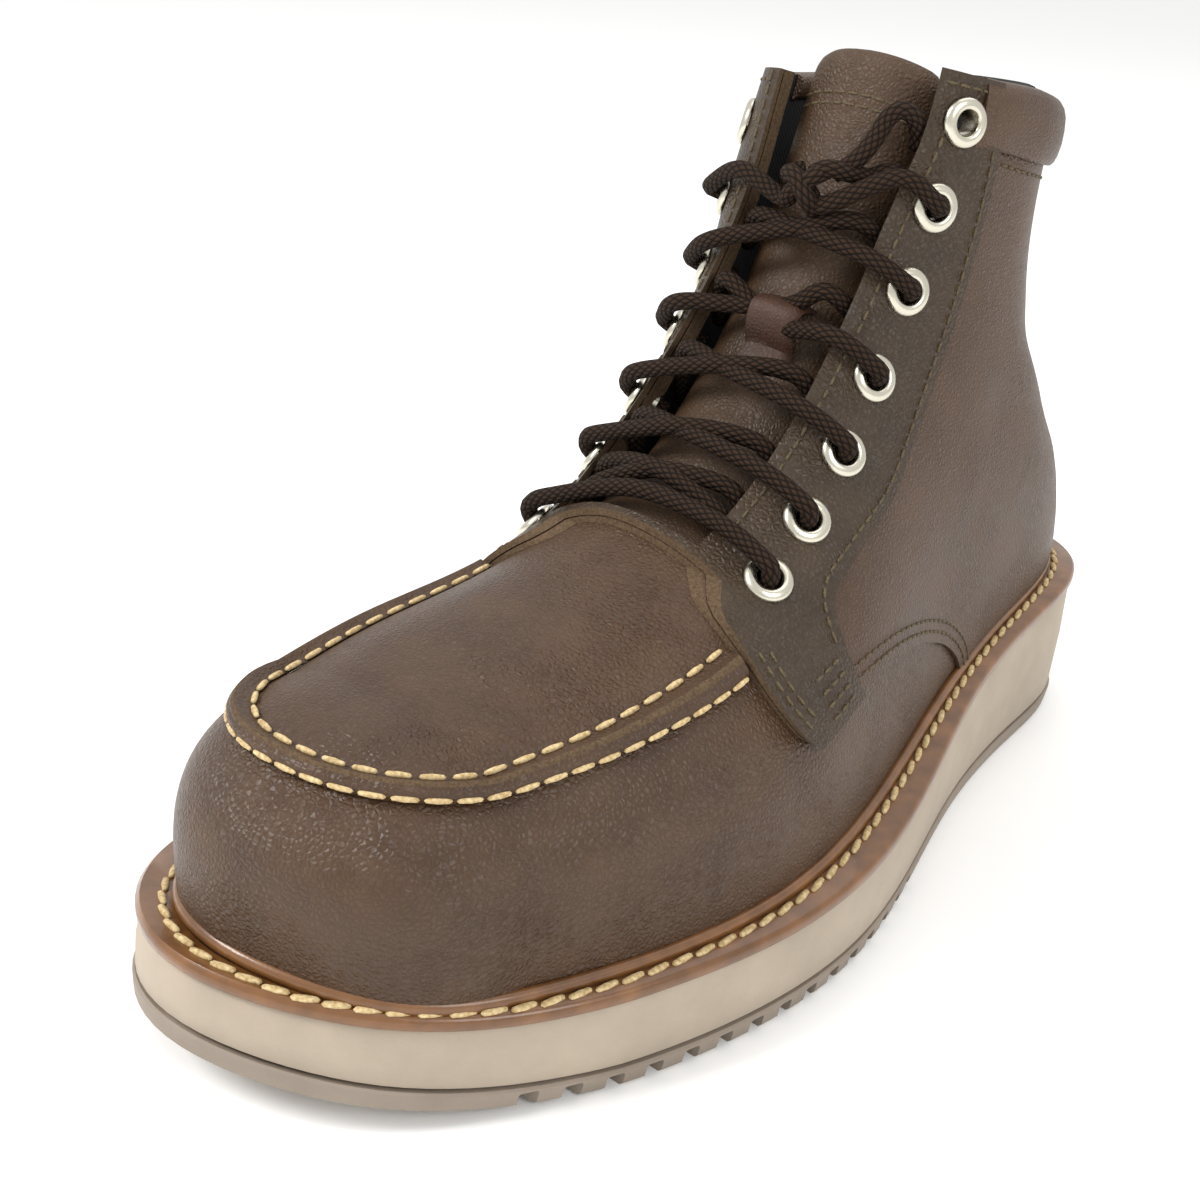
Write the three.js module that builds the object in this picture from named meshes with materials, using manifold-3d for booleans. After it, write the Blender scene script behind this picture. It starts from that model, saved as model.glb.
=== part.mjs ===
// Lace-up ankle boot for the left foot, with a moccasin toe and a wedge sole.
// Millimetres, +Z up, toe towards -Y, outer side of the foot towards +X.
// The origin is on the floor, under the middle of the boot's own box.
import * as THREE from 'three';
import { mergeVertices } from 'three/addons/utils/BufferGeometryUtils.js';
import Module from 'manifold-3d';

// Driving sizes of the sole
const soleLength = 300.3;
const soleWidth = 113;
const heelStack = 39.4;
const forefootStack = 21.3;
const toeSpring = 14.5;
const outsoleThickness = 4.8;
const soleTuck = 0.7;
const toeLean = 3;
const notchWidth = 3.4;
const notchDepth = 3.2;
const notchReach = 13;
const notchPitch = 8.6;
const notchCount = 15;
const notchStart = 0.46;

// Driving sizes of the welt and the insole
const weltThickness = 3.2;
const weltLip = 0.9;
const beadWidth = 2.8;
const beadRise = 2.8;
const insoleThickness = 4;

// Driving sizes of the upper
const formHeight = 200;
const formWidth = 100;
const toeReach = 38;
const toeSquareness = 2.2;
const wall = 2.2;
const quarterStep = 1.3;
const facingThickness = 1.5;
const collarPadding = 2.4;
const tongueThickness = 3.4;
const tongueCover = 4;
const tongueWrap = 18;
const tongueSink = 4.5;
const tongueRoot = 1.4;
const tongueFrom = 2.35;
const tongueTo = 10.95;
const tongueRounding = 10.3;
const tongueCorner = 9;
const throatShift = 5;
const throatDepth = 26;
const sinkSpan = 37;
const ridgeRise = 2.6;
const ridgeGirth = 0.032;

// Driving sizes of the eyelets, the lace and the small pieces
const eyeletHole = 2.7;
const eyeletFlange = 5.5;
const eyeletBarrel = 3.3;
const flangeThickness = 1;
const flangeSeat = 0.6;
const laceDiameter = 4.4;
const keeperWidth = 10;
const keeperThickness = 1.6;
const keeperFrom = 5.75;
const keeperTo = 6.4;
const keeperShift = 5.5;
const pullWidth = 20;
const pullThickness = 1.8;
const pullRise = 7;
const pullDrop = 22;

// Clearances: pieces that touch keep the fit, and a barrel keeps the bore clearance
const fit = 0.3;
const boreClearance = 0.35;
const far = 400;

// Sole outline: share of the length from the heel, then half widths as shares of the width.
// The first and last rows are the heel's back and the toe's tip, on the foot's own line.
const soleOutline = [
  { along: -0.008, outer: 0, inner: 0 },
  { along: 0.016, outer: 0.235, inner: 0.234 },
  { along: 0.089, outer: 0.326, inner: 0.324 },
  { along: 0.193, outer: 0.344, inner: 0.319 },
  { along: 0.319, outer: 0.398, inner: 0.319 },
  { along: 0.446, outer: 0.508, inner: 0.345 },
  { along: 0.572, outer: 0.598, inner: 0.394 },
  { along: 0.699, outer: 0.58, inner: 0.42 },
  { along: 0.825, outer: 0.484, inner: 0.42 },
  { along: 0.942, outer: 0.314, inner: 0.385 },
  { along: 1.028, outer: -0.053, inner: 0.053 },
];

// Side of the sole: wedge is the share of the rise from forefoot to heel stack,
// body is the share of the forefoot stack, spring is the share of the toe spring.
const soleSide = [
  { along: -0.02, wedge: 1, body: 1, spring: 0 },
  { along: 0.146, wedge: 0.88, body: 1, spring: 0 },
  { along: 0.312, wedge: 0.62, body: 1, spring: 0 },
  { along: 0.479, wedge: 0.24, body: 1, spring: 0 },
  { along: 0.645, wedge: 0.04, body: 1, spring: 0 },
  { along: 0.800, wedge: 0, body: 1, spring: 0 },
  { along: 0.928, wedge: 0, body: 0.86, spring: 0.34 },
  { along: 1.030, wedge: 0, body: 0.72, spring: 1 },
];

// Upper: each row is one section that fans from the front ridge (top) to the back (base).
// Places are shares of the sole's length and the form's height, half widths of its width.
// belly is the height of the widest point, floor the base's width, crown and keel the roundness,
// and sink how much lower the top lies on the inner side.
const upperSections = [
  { topAlong: 0.855, topRise: 0.36, baseAlong: 0.855, baseRise: 0.07, outer: 0.455, inner: 0.355,
    belly: 0.42, floor: 0.9, crown: 2.6, keel: 2.3, sink: 0 },
  { topAlong: 0.769, topRise: 0.383, baseAlong: 0.779, baseRise: 0.07, outer: 0.545, inner: 0.41,
    belly: 0.4, floor: 0.92, crown: 2.45, keel: 2.3, sink: 0.006 },
  { topAlong: 0.687, topRise: 0.41, baseAlong: 0.685, baseRise: 0.07, outer: 0.6, inner: 0.41,
    belly: 0.36, floor: 0.93, crown: 2.25, keel: 2.3, sink: 0.02 },
  { topAlong: 0.615, topRise: 0.443, baseAlong: 0.585, baseRise: 0.075, outer: 0.6, inner: 0.395,
    belly: 0.34, floor: 0.93, crown: 2.1, keel: 2.3, sink: 0.02 },
  { topAlong: 0.567, topRise: 0.5, baseAlong: 0.462, baseRise: 0.09, outer: 0.525, inner: 0.365,
    belly: 0.36, floor: 0.9, crown: 2.15, keel: 2.3, sink: 0.01 },
  { topAlong: 0.527, topRise: 0.565, baseAlong: 0.329, baseRise: 0.105, outer: 0.435, inner: 0.34,
    belly: 0.42, floor: 0.84, crown: 2.35, keel: 2.2, sink: 0.014 },
  { topAlong: 0.492, topRise: 0.638, baseAlong: 0.186, baseRise: 0.12, outer: 0.372, inner: 0.322,
    belly: 0.48, floor: 0.66, crown: 2.5, keel: 2.2, sink: 0.018 },
  { topAlong: 0.462, topRise: 0.713, baseAlong: 0.026, baseRise: 0.13, outer: 0.352, inner: 0.315,
    belly: 0.52, floor: 0.45, crown: 2.6, keel: 2.1, sink: 0.018 },
  { topAlong: 0.449, topRise: 0.753, baseAlong: 0.012, baseRise: 0.3, outer: 0.342, inner: 0.318,
    belly: 0.54, floor: 0, crown: 2.7, keel: 2.0, sink: 0.018 },
  { topAlong: 0.437, topRise: 0.793, baseAlong: 0.126, baseRise: 0.47, outer: 0.316, inner: 0.296,
    belly: 0.54, floor: 0, crown: 2.7, keel: 1.9, sink: 0.018 },
  { topAlong: 0.419, topRise: 0.876, baseAlong: 0.168, baseRise: 0.625, outer: 0.305, inner: 0.27,
    belly: 0.52, floor: 0, crown: 2.7, keel: 1.85, sink: 0.018 },
  { topAlong: 0.407, topRise: 0.94, baseAlong: 0.166, baseRise: 0.775, outer: 0.305, inner: 0.247,
    belly: 0.51, floor: 0, crown: 2.7, keel: 1.85, sink: 0.018 },
  { topAlong: 0.399, topRise: 1.0, baseAlong: 0.146, baseRise: 0.93, outer: 0.305, inner: 0.228,
    belly: 0.5, floor: 0, crown: 2.7, keel: 1.85, sink: 0.018 },
];

// Side-view lines of the panels, as shares of the sole's length and the form's height
const tabFront = [
  { along: 0.622, rise: 0.288 },
  { along: 0.634, rise: 0.3 },
  { along: 0.646, rise: 0.328 },
  { along: 0.651, rise: 0.357 },
  { along: 0.65, rise: 0.386 },
  { along: 0.645, rise: 0.408 },
  { along: 0.626, rise: 0.429 },
];
const facingBack = [
  { along: 0.345, rise: 0.96 },
  { along: 0.342, rise: 0.864 },
  { along: 0.341, rise: 0.817 },
  { along: 0.355, rise: 0.727 },
  { along: 0.391, rise: 0.596 },
  { along: 0.4515, rise: 0.4875 },
  { along: 0.521, rise: 0.4345 },
  { along: 0.558, rise: 0.405 },
  { along: 0.566, rise: 0.366 },
  { along: 0.562, rise: 0.33 },
  { along: 0.556, rise: 0.309 },
];
const quarterLow = [
  { along: 0.622, rise: 0.288 },
  { along: 0.585, rise: 0.303 },
  { along: 0.53, rise: 0.31 },
  { along: 0.47, rise: 0.304 },
  { along: 0.406, rise: 0.279 },
  { along: 0.356, rise: 0.2425 },
  { along: 0.318, rise: 0.19 },
  { along: 0.305, rise: 0.12 },
];
const collarLine = [
  { along: 0.520, rise: 0.965 },
  { along: 0.390, rise: 0.918 },
  { along: 0.342, rise: 0.903 },
  { along: 0.285, rise: 0.890 },
  { along: 0.180, rise: 0.860 },
  { along: 0.000, rise: 0.842 },
];
const collarBandLow = [
  { along: 0.342, rise: 0.829 },
  { along: 0.254, rise: 0.804 },
  { along: 0.120, rise: 0.778 },
  { along: 0.000, rise: 0.768 },
];

// Collar line on the inner side, which lies lower in front
const collarInner = [
  { along: 0.520, rise: 0.930 },
  { along: 0.390, rise: 0.888 },
  { along: 0.342, rise: 0.878 },
  { along: 0.285, rise: 0.873 },
  { along: 0.180, rise: 0.856 },
  { along: 0.000, rise: 0.842 },
];

// Edges of the throat, as places across the foot in millimetres
const throatEdges = [
  { station: 3, inner: -21, outer: 21.5 },
  { station: 4.2, inner: -22, outer: 22.5 },
  { station: 5.2, inner: -18.5, outer: 22.5 },
  { station: 6.2, inner: -14.5, outer: 22 },
  { station: 7.8, inner: -12, outer: 22 },
  { station: 9, inner: -11.6, outer: 23 },
  { station: 10, inner: -12, outer: 24.5 },
  { station: 12, inner: -12, outer: 24.5 },
];

// Eyelets from the lowest to the top one, as station and girth on the upper's form
const eyeletRow = [
  { outer: [3.28, 0.743], inner: [3.12, 0.715] },
  { outer: [4.18, 0.728], inner: [4.2, 0.714] },
  { outer: [5.15, 0.702], inner: [5.12, 0.726] },
  { outer: [6.14, 0.692], inner: [6.08, 0.742] },
  { outer: [7.44, 0.688], inner: [7.05, 0.75] },
  { outer: [9.15, 0.634], inner: [8.7, 0.721] },
  { outer: [10.33, 0.592], inner: [9.85, 0.689] },
];

// Moccasin seam, by the angle round the toe and then by station
const seamToe = [
  { angle: 0, girth: 0.7 },
  { angle: 30, girth: 0.745 },
  { angle: 65, girth: 0.765 },
  { angle: 115, girth: 0.765 },
  { angle: 150, girth: 0.745 },
  { angle: 180, girth: 0.7 },
];
const seamSide = [
  { station: 0, girth: 0.7 },
  { station: 0.8, girth: 0.688 },
  { station: 1.6, girth: 0.689 },
  { station: 2.4, girth: 0.691 },
];

const wasm = await Module();
wasm.setup();

// Curves and tables
const heelEnd = soleLength / 2;
const alongToY = (along) => heelEnd - along * soleLength;

function splineWeights(t) {
  const s = 1 - t;
  return [s * s * s / 6, (3 * t * t * t - 6 * t * t + 4) / 6,
    (-3 * t * t * t + 3 * t * t + 3 * t + 1) / 6, t * t * t / 6];
}

// Uniform cubic B-spline over table rows, with the end rows carried on in a straight line
function blendRows(rows, keys, place) {
  const last = rows.length - 1;
  const at = Math.min(Math.max(place, 0), last - 1e-9);
  const base = Math.floor(at);
  const weights = splineWeights(at - base);
  const result = {};
  for (const key of keys) {
    result[key] = weights.reduce((sum, weight, step) => {
      const index = base + step - 1;
      let value;
      if (index < 0) value = 2 * rows[0][key] - rows[1][key];
      else if (index > last) value = 2 * rows[last][key] - rows[last - 1][key];
      else value = rows[index][key];
      return sum + weight * value;
    }, 0);
  }
  return result;
}

// Smooth reading of one column at a place between the rows of another
function readTable(rows, key, column, place) {
  const last = rows.length - 1;
  let i = 0;
  while (i < last - 1 && place > rows[i + 1][key]) i += 1;
  const slope = (j) => {
    const a = rows[Math.max(j - 1, 0)];
    const b = rows[Math.min(j + 1, last)];
    return (b[column] - a[column]) / (b[key] - a[key]);
  };
  const span = rows[i + 1][key] - rows[i][key];
  const t = Math.min(Math.max((place - rows[i][key]) / span, 0), 1);
  const t2 = t * t;
  const t3 = t2 * t;
  return (2 * t3 - 3 * t2 + 1) * rows[i][column] + (t3 - 2 * t2 + t) * span * slope(i)
    + (3 * t2 - 2 * t3) * rows[i + 1][column] + (t3 - t2) * span * slope(i + 1);
}

// Booleans on closed meshes
function solidFrom(points, faces) {
  const mesh = new wasm.Mesh({
    numProp: 3,
    vertProperties: Float32Array.from(points.flatMap((p) => [p.x, p.y, p.z])),
    triVerts: Uint32Array.from(faces.flat()),
  });
  return new wasm.Manifold(mesh);
}

function solidOf(geometry) {
  const bare = new THREE.BufferGeometry();
  bare.setAttribute('position', geometry.getAttribute('position'));
  if (geometry.index) bare.setIndex(geometry.index);
  const merged = mergeVertices(bare, 1e-3);
  return new wasm.Manifold(new wasm.Mesh({
    numProp: 3,
    vertProperties: Float32Array.from(merged.getAttribute('position').array),
    triVerts: Uint32Array.from(merged.index.array),
  }));
}

function geometryOf(solid) {
  const mesh = solid.getMesh();
  const geometry = new THREE.BufferGeometry();
  geometry.setAttribute('position', new THREE.BufferAttribute(mesh.vertProperties, 3));
  geometry.setIndex(new THREE.BufferAttribute(mesh.triVerts, 1));
  geometry.computeVertexNormals();
  return geometry;
}

// The sole: outline points in outer and inner pairs that share one y
const outlineCount = 60;

function outlineRing() {
  const rows = soleOutline;
  const loop = rows.map((row) => new THREE.Vector2(row.outer * soleWidth, alongToY(row.along)));
  for (let i = rows.length - 2; i > 0; i -= 1) {
    loop.push(new THREE.Vector2(-rows[i].inner * soleWidth, alongToY(rows[i].along)));
  }
  const ring = [];
  for (let i = 0; i < outlineCount; i += 1) {
    const place = (i / outlineCount) * loop.length;
    const base = Math.floor(place);
    const weights = splineWeights(place - base);
    const point = new THREE.Vector2();
    weights.forEach((weight, step) => {
      const control = loop[(base + step - 1 + loop.length) % loop.length];
      point.addScaledVector(control, weight);
    });
    ring.push(point);
  }
  return ring.map((point, i) => {
    const before = ring[(i + outlineCount - 1) % outlineCount];
    const after = ring[(i + 1) % outlineCount];
    const out = new THREE.Vector2(before.y - after.y, after.x - before.x).normalize();
    return { point, out };
  });
}

const soleRing = outlineRing();
const alongOf = (y) => (heelEnd - y) / soleLength;
const sideValue = (column, y) => readTable(soleSide, 'along', column, alongOf(y));
const floorZ = (y) => toeSpring * Math.max(sideValue('spring', y), 0);
const stackZ = (y) => forefootStack * sideValue('body', y)
  + (heelStack - forefootStack) * sideValue('wedge', y) + floorZ(y);
const leanAt = (y) => {
  const share = Math.min(Math.max((alongOf(y) - 0.83) / 0.18, 0), 1);
  return toeLean * share * share * (3 - 2 * share) - soleTuck;
};

// A layer with the sole's outline: each level has its own outset and its own height
function layer(levels) {
  const points = [];
  const faces = [];
  const n = outlineCount;
  for (const level of levels) {
    for (const { point, out } of soleRing) {
      const grow = level.out(point.y);
      points.push(new THREE.Vector3(point.x + out.x * grow, point.y + out.y * grow, level.z(point.y)));
    }
  }
  for (let k = 0; k < levels.length - 1; k += 1) {
    for (let i = 0; i < n; i += 1) {
      const a = k * n + i;
      const b = k * n + (i + 1) % n;
      faces.push([a, a + n, b], [b, a + n, b + n]);
    }
  }
  const top = (levels.length - 1) * n;
  for (let i = 0; i < n / 2; i += 1) {
    const a = i;
    const b = i + 1;
    const c = (n - i) % n;
    const d = n - i - 1;
    if (a !== c) {
      faces.push([a, b, c]);
      faces.push([top + a, top + c, top + b]);
    }
    if (b !== d) {
      faces.push([b, d, c]);
      faces.push([top + b, top + c, top + d]);
    }
  }
  return solidFrom(points, faces);
}

function notches() {
  let cuts = null;
  for (let i = 0; i < notchCount; i += 1) {
    const y = alongToY(notchStart) - i * notchPitch;
    for (const side of [1, -1]) {
      const edge = soleRing.reduce((best, { point }) => (
        Math.sign(point.x) === side && Math.abs(point.y - y) < Math.abs(best.y - y) ? point : best
      ), { x: 0, y: far });
      const box = new THREE.BoxGeometry(2 * notchReach, notchWidth, 2 * notchDepth);
      box.translate(edge.x, y, 0);
      const cut = solidOf(box);
      cuts = cuts ? cuts.add(cut) : cut;
    }
  }
  return cuts;
}

// The upper's form: a point by station, girth (0 base, 1 top), side and outset
const bellyGirth = 0.35;
const sectionKeys = Object.keys(upperSections[0]);

function sectionAt(station, outset) {
  const row = blendRows(upperSections, sectionKeys, station);
  const top = new THREE.Vector2(alongToY(row.topAlong), row.topRise * formHeight);
  const base = new THREE.Vector2(alongToY(row.baseAlong), row.baseRise * formHeight);
  const up = top.clone().sub(base).normalize();
  top.addScaledVector(up, outset);
  base.addScaledVector(up, -outset);
  return { row, top, base, outer: row.outer * formWidth + outset, inner: row.inner * formWidth + outset };
}

// Share of the half width and of the height that a girth stands for
function girthShares(row, girth) {
  if (girth <= bellyGirth) {
    const turn = (Math.max(girth, 0) / bellyGirth) * Math.PI / 2;
    return {
      wide: row.floor + (1 - row.floor) * Math.sin(turn) ** (2 / row.keel),
      high: row.belly * (1 - Math.cos(turn) ** (2 / row.keel)),
    };
  }
  const turn = ((Math.min(girth, 1) - bellyGirth) / (1 - bellyGirth)) * Math.PI / 2;
  return {
    wide: Math.max(Math.cos(turn), 0) ** (2 / row.crown),
    high: row.belly + (1 - row.belly) * Math.sin(turn) ** (2 / row.crown),
  };
}

// How much lower the form's top lies on the inner side of the throat
function innerSink(row, x, high) {
  const share = Math.min(Math.max((throatShift - x) / sinkSpan, 0), 1);
  return row.sink * formHeight * share * share * (3 - 2 * share) * high;
}

function formPoint(station, girth, side, outset) {
  const { row, top, base, outer, inner } = sectionAt(station, outset);
  const { wide, high } = girthShares(row, girth);
  const spot = base.clone().lerp(top, high);
  const x = side * (side > 0 ? outer : inner) * wide;
  return new THREE.Vector3(x, spot.x, spot.y - innerSink(row, x, high));
}

// The toe turns the first section's two halves round an upright line
function toePoint(angle, girth, outset) {
  const turn = THREE.MathUtils.degToRad(angle);
  const { row, top, base, outer, inner } = sectionAt(0, outset);
  const { wide, high } = girthShares(row, girth);
  const half = Math.cos(turn) >= 0 ? outer : inner;
  const across = Math.abs(Math.cos(turn)) / half;
  const ahead = Math.abs(Math.sin(turn)) / (toeReach + outset);
  const reach = (across ** toeSquareness + ahead ** toeSquareness) ** (-1 / toeSquareness);
  const spot = base.clone().lerp(top, high);
  const x = Math.cos(turn) * reach * wide;
  return new THREE.Vector3(x, spot.x - Math.sin(turn) * reach * wide, spot.y - innerSink(row, x, high));
}

const girths = [0, 0.12, 0.24, 0.35, 0.46, 0.57, 0.68, 0.79, 0.89, 1];
const toeAngles = [180, 162, 144, 126, 108, 90, 72, 54, 36, 18, 0];
const stations = [0, 0.7, 1.4, 2.1, 2.8, 3.4, 4, 4.6, 5.2, 5.8, 6.4, 6.8, 7.2, 7.6, 8, 8.5, 9.1, 9.8, 10.6,
  12];

// The whole form grown by an outset, or by one that changes with the station, as one closed solid
function formSolid(grow) {
  const growAt = typeof grow === 'function' ? grow : () => grow;
  const points = [];
  const faces = [];
  const m = girths.length - 1;
  const put = (point) => points.push(point) - 1;
  const half = (station, side) => (
    girths.slice(0, m).map((g) => put(formPoint(station, g, side, growAt(station)))));
  const rings = stations.map((station) => {
    const crown = put(formPoint(station, 1, 1, growAt(station)));
    return { outer: half(station, 1), inner: half(station, -1), crown };
  });
  const strip = (near, far_, flip) => {
    for (let j = 0; j < near.length - 1; j += 1) {
      const quad = [[near[j], far_[j], near[j + 1]], [near[j + 1], far_[j], far_[j + 1]]];
      faces.push(...(flip ? quad.map(([a, b, c]) => [a, c, b]) : quad));
    }
  };
  for (let i = 0; i < rings.length - 1; i += 1) {
    const near = rings[i];
    const next = rings[i + 1];
    strip([...near.outer, near.crown], [...next.outer, next.crown], false);
    strip([...near.inner, near.crown], [...next.inner, next.crown], true);
    faces.push([near.outer[0], near.inner[0], next.outer[0]], [next.outer[0], near.inner[0], next.inner[0]]);
  }
  const end = rings[rings.length - 1];
  const rim = [...end.outer, end.crown, ...end.inner.slice().reverse()];
  for (let j = 1; j < rim.length - 1; j += 1) faces.push([rim[0], rim[j + 1], rim[j]]);
  const first = rings[0];
  const outset = growAt(0);
  const base = sectionAt(0, outset).base;
  const centre = put(new THREE.Vector3(0, base.x, base.y));
  let near = first.inner;
  for (const angle of toeAngles.slice(1)) {
    const next = angle === 0 ? first.outer : girths.slice(0, m).map((g) => put(toePoint(angle, g, outset)));
    strip([...near, first.crown], [...next, first.crown], false);
    faces.push([centre, next[0], near[0]]);
    near = next;
  }
  // the flat base of the toe closes on the first section's base line
  faces.push([centre, first.inner[0], first.outer[0]]);
  return solidFrom(points, faces);
}

// A slab across the boot with a side-view outline
function sidePrism(outline, fromX, toX) {
  const shape = new THREE.Shape(outline.map(([y, z]) => new THREE.Vector2(y, z)));
  const geometry = new THREE.ExtrudeGeometry(shape, { depth: toX - fromX, bevelEnabled: false });
  const basis = new THREE.Matrix4().makeBasis(
    new THREE.Vector3(0, 1, 0), new THREE.Vector3(0, 0, 1), new THREE.Vector3(1, 0, 0));
  geometry.applyMatrix4(basis);
  geometry.translate(fromX, 0, 0);
  return solidOf(geometry);
}

function sideLine(rows, steps) {
  const curve = new THREE.SplineCurve(rows.map((row) => (
    new THREE.Vector2(alongToY(row.along), row.rise * formHeight))));
  return curve.getPoints(steps).map((p) => [p.x, p.y]);
}

// A tunnel that follows the front ridge: its two sides' places across the foot at a station,
// and its reach in and out of the form
function ridgeTunnel(fromStation, toStation, sidesAt, reachIn, reachOut) {
  const steps = 12;
  const points = [];
  const faces = [];
  for (let i = 0; i <= steps; i += 1) {
    const station = fromStation + ((toStation - fromStation) * i) / steps;
    const { top, base } = sectionAt(station, 0);
    const up = top.clone().sub(base).normalize();
    const low = top.clone().addScaledVector(up, -reachIn);
    const high = top.clone().addScaledVector(up, reachOut);
    const [left, right] = sidesAt(station);
    points.push(new THREE.Vector3(right, low.x, low.y), new THREE.Vector3(right, high.x, high.y));
    points.push(new THREE.Vector3(left, high.x, high.y), new THREE.Vector3(left, low.x, low.y));
  }
  for (let i = 0; i < steps; i += 1) {
    for (let j = 0; j < 4; j += 1) {
      const a = i * 4 + j;
      const b = i * 4 + (j + 1) % 4;
      faces.push([a, a + 4, b], [b, a + 4, b + 4]);
    }
  }
  const end = steps * 4;
  faces.push([0, 1, 2], [0, 2, 3], [end, end + 2, end + 1], [end, end + 3, end + 2]);
  return solidFrom(points, faces);
}

// Parts of the form that several pieces share
const forms = new Map();
function form(outset) {
  const key = outset.toFixed(3);
  if (!forms.has(key)) forms.set(key, formSolid(outset));
  return forms.get(key);
}

const noGrow = () => 0;
const seatZ = (y) => stackZ(y) + fit;
const soleYs = soleRing.slice(0, outlineCount / 2 + 1).map(({ point }) => point.y);
const toeY = soleYs[soleYs.length - 1];
const underSole = sidePrism([
  [toeY - far, -far], [far, -far], [far, seatZ(soleYs[0])],
  ...soleYs.map((y) => [y, seatZ(y)]), [toeY - far, seatZ(toeY)],
], -far, far);

const quarterOutline = [
  ...sideLine(tabFront, 7),
  [alongToY(0.62), formHeight * 0.52], [alongToY(0.55), formHeight * 1.3],
  [alongToY(-0.3), formHeight * 1.3], [alongToY(-0.3), 0], [alongToY(0.305), 0],
  ...sideLine(quarterLow, 9).reverse().slice(0, -1),
];
const quarterRegion = sidePrism(quarterOutline, -far, far);
const collarCut = (rows, fromX, toX) => sidePrism([
  ...sideLine(rows, 7), [alongToY(-0.3), formHeight * 0.83],
  [alongToY(-0.3), formHeight * 1.4], [alongToY(0.9), formHeight * 1.4], [alongToY(0.9), formHeight],
], fromX, toX);
const aboveCollar = collarCut(collarLine, throatShift, far).add(collarCut(collarInner, -far, throatShift));
const throatStation = 3.02;
const lastStation = stations[stations.length - 1];
const throatEnd = 1.2;
const throatSides = (station) => (
  ['inner', 'outer'].map((edge) => readTable(throatEdges, 'station', edge, station)));
const throat = ridgeTunnel(throatStation, lastStation, throatSides, throatDepth, 30)
  .add(ridgeTunnel(lastStation - throatEnd, lastStation, throatSides, throatDepth, 60));

// The form with the quarters' step: vamp skin in front, quarter skin behind
function skin(outset) {
  return form(outset).add(form(outset + quarterStep).intersect(quarterRegion));
}

function frameAt(station, girth, side, outset) {
  const here = formPoint(station, girth, side, outset);
  const onward = formPoint(station + 0.02, girth, side, outset).sub(here);
  const upward = formPoint(station, girth + 0.01, side, outset).sub(here);
  const out = onward.cross(upward).normalize();
  if (out.x * side < 0) out.negate();
  return { here, out };
}

const facingSkin = quarterStep + fit + facingThickness;
const eyeletPlace = (level, side) => eyeletRow[level - 1][side > 0 ? 'outer' : 'inner'];
const eyeletSeats = [1, -1].flatMap((side) => eyeletRow.map((row, i) => (
  { side, level: i + 1, ...frameAt(...eyeletPlace(i + 1, side), side, facingSkin) })));

function alongAxis(geometry, seat) {
  const turn = new THREE.Quaternion().setFromUnitVectors(new THREE.Vector3(0, 1, 0), seat.out);
  geometry.applyQuaternion(turn);
  geometry.translate(seat.here.x, seat.here.y, seat.here.z);
  return geometry;
}

const boreSides = 8;
function eyeletBores() {
  return eyeletSeats.map((seat) => {
    const radius = (eyeletBarrel + boreClearance) / Math.cos(Math.PI / boreSides);
    return solidOf(alongAxis(new THREE.CylinderGeometry(radius, radius, 30, boreSides), seat));
  }).reduce((sum, bore) => sum.add(bore));
}
const bores = eyeletBores();

// Sole pieces
function makeOutsole() {
  const body = layer([
    { out: leanAt, z: floorZ },
    { out: (y) => leanAt(y) * 0.75, z: (y) => floorZ(y) + outsoleThickness },
  ]);
  return body.subtract(notches());
}

function makeMidsole() {
  return layer([
    { out: (y) => leanAt(y) * 0.75, z: (y) => floorZ(y) + outsoleThickness + fit },
    { out: noGrow, z: stackZ },
  ]);
}

function makeWelt() {
  const lip = () => weltLip;
  const inset = () => weltLip - 1.2;
  const rim = layer([
    { out: lip, z: seatZ },
    { out: lip, z: (y) => seatZ(y) + weltThickness },
  ]);
  const tall = layer([
    { out: inset, z: seatZ },
    { out: inset, z: (y) => seatZ(y) + weltThickness + beadRise },
  ]);
  const bead = skin(fit + beadWidth).intersect(tall);
  return rim.add(bead).subtract(skin(fit));
}

function makeInsole() {
  const room = layer([
    { out: noGrow, z: seatZ },
    { out: noGrow, z: (y) => seatZ(y) + insoleThickness },
  ]);
  return form(-wall - fit).intersect(room);
}

// Upper pieces
function makeUpper() {
  return skin(0).subtract(form(-wall)).subtract(underSole).subtract(aboveCollar)
    .subtract(throat).subtract(bores);
}

// The tongue sinks away from the facings above its root
const tongueDepth = (station) => {
  const share = Math.min(Math.max((station - throatStation) / tongueRoot, 0), 1);
  return -wall - fit - tongueSink * share * share * (3 - 2 * share);
};

function makeTongue() {
  const region = ridgeTunnel(tongueFrom, tongueTo, (station) => {
    const [left, right] = throatSides(station);
    const narrow = Math.max(station - tongueRounding, 0) * tongueCorner;
    return [left - tongueCover + narrow, right + tongueCover - narrow];
  }, tongueWrap, 30);
  const outer = formSolid(tongueDepth);
  const inner = formSolid((station) => tongueDepth(station) - tongueThickness);
  return outer.subtract(inner).intersect(region);
}

function makeFacing(side) {
  const outline = [
    ...sideLine(tabFront, 7), [alongToY(0.62), formHeight * 0.52], [alongToY(0.5), formHeight * 1.1],
    [alongToY(0.344), formHeight * 1.1], ...sideLine(facingBack, 12),
  ];
  const near = throatShift;
  const region = side > 0 ? sidePrism(outline, near, far) : sidePrism(outline, -far, near);
  return form(facingSkin).subtract(form(quarterStep + fit)).intersect(region)
    .subtract(aboveCollar).subtract(throat).subtract(bores);
}

function makeCollarBand() {
  const low = sideLine(collarBandLow, 10);
  const start = low[0][0] + 0.6;
  const outline = [
    [start, formHeight * 1.1], [start, low[0][1]], ...low.slice(1),
    [alongToY(-0.3), low[low.length - 1][1]], [alongToY(-0.3), formHeight * 1.1],
  ];
  const region = sidePrism(outline, -far, far);
  return form(quarterStep + fit + collarPadding).subtract(form(quarterStep + fit))
    .intersect(region).subtract(aboveCollar);
}

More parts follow.
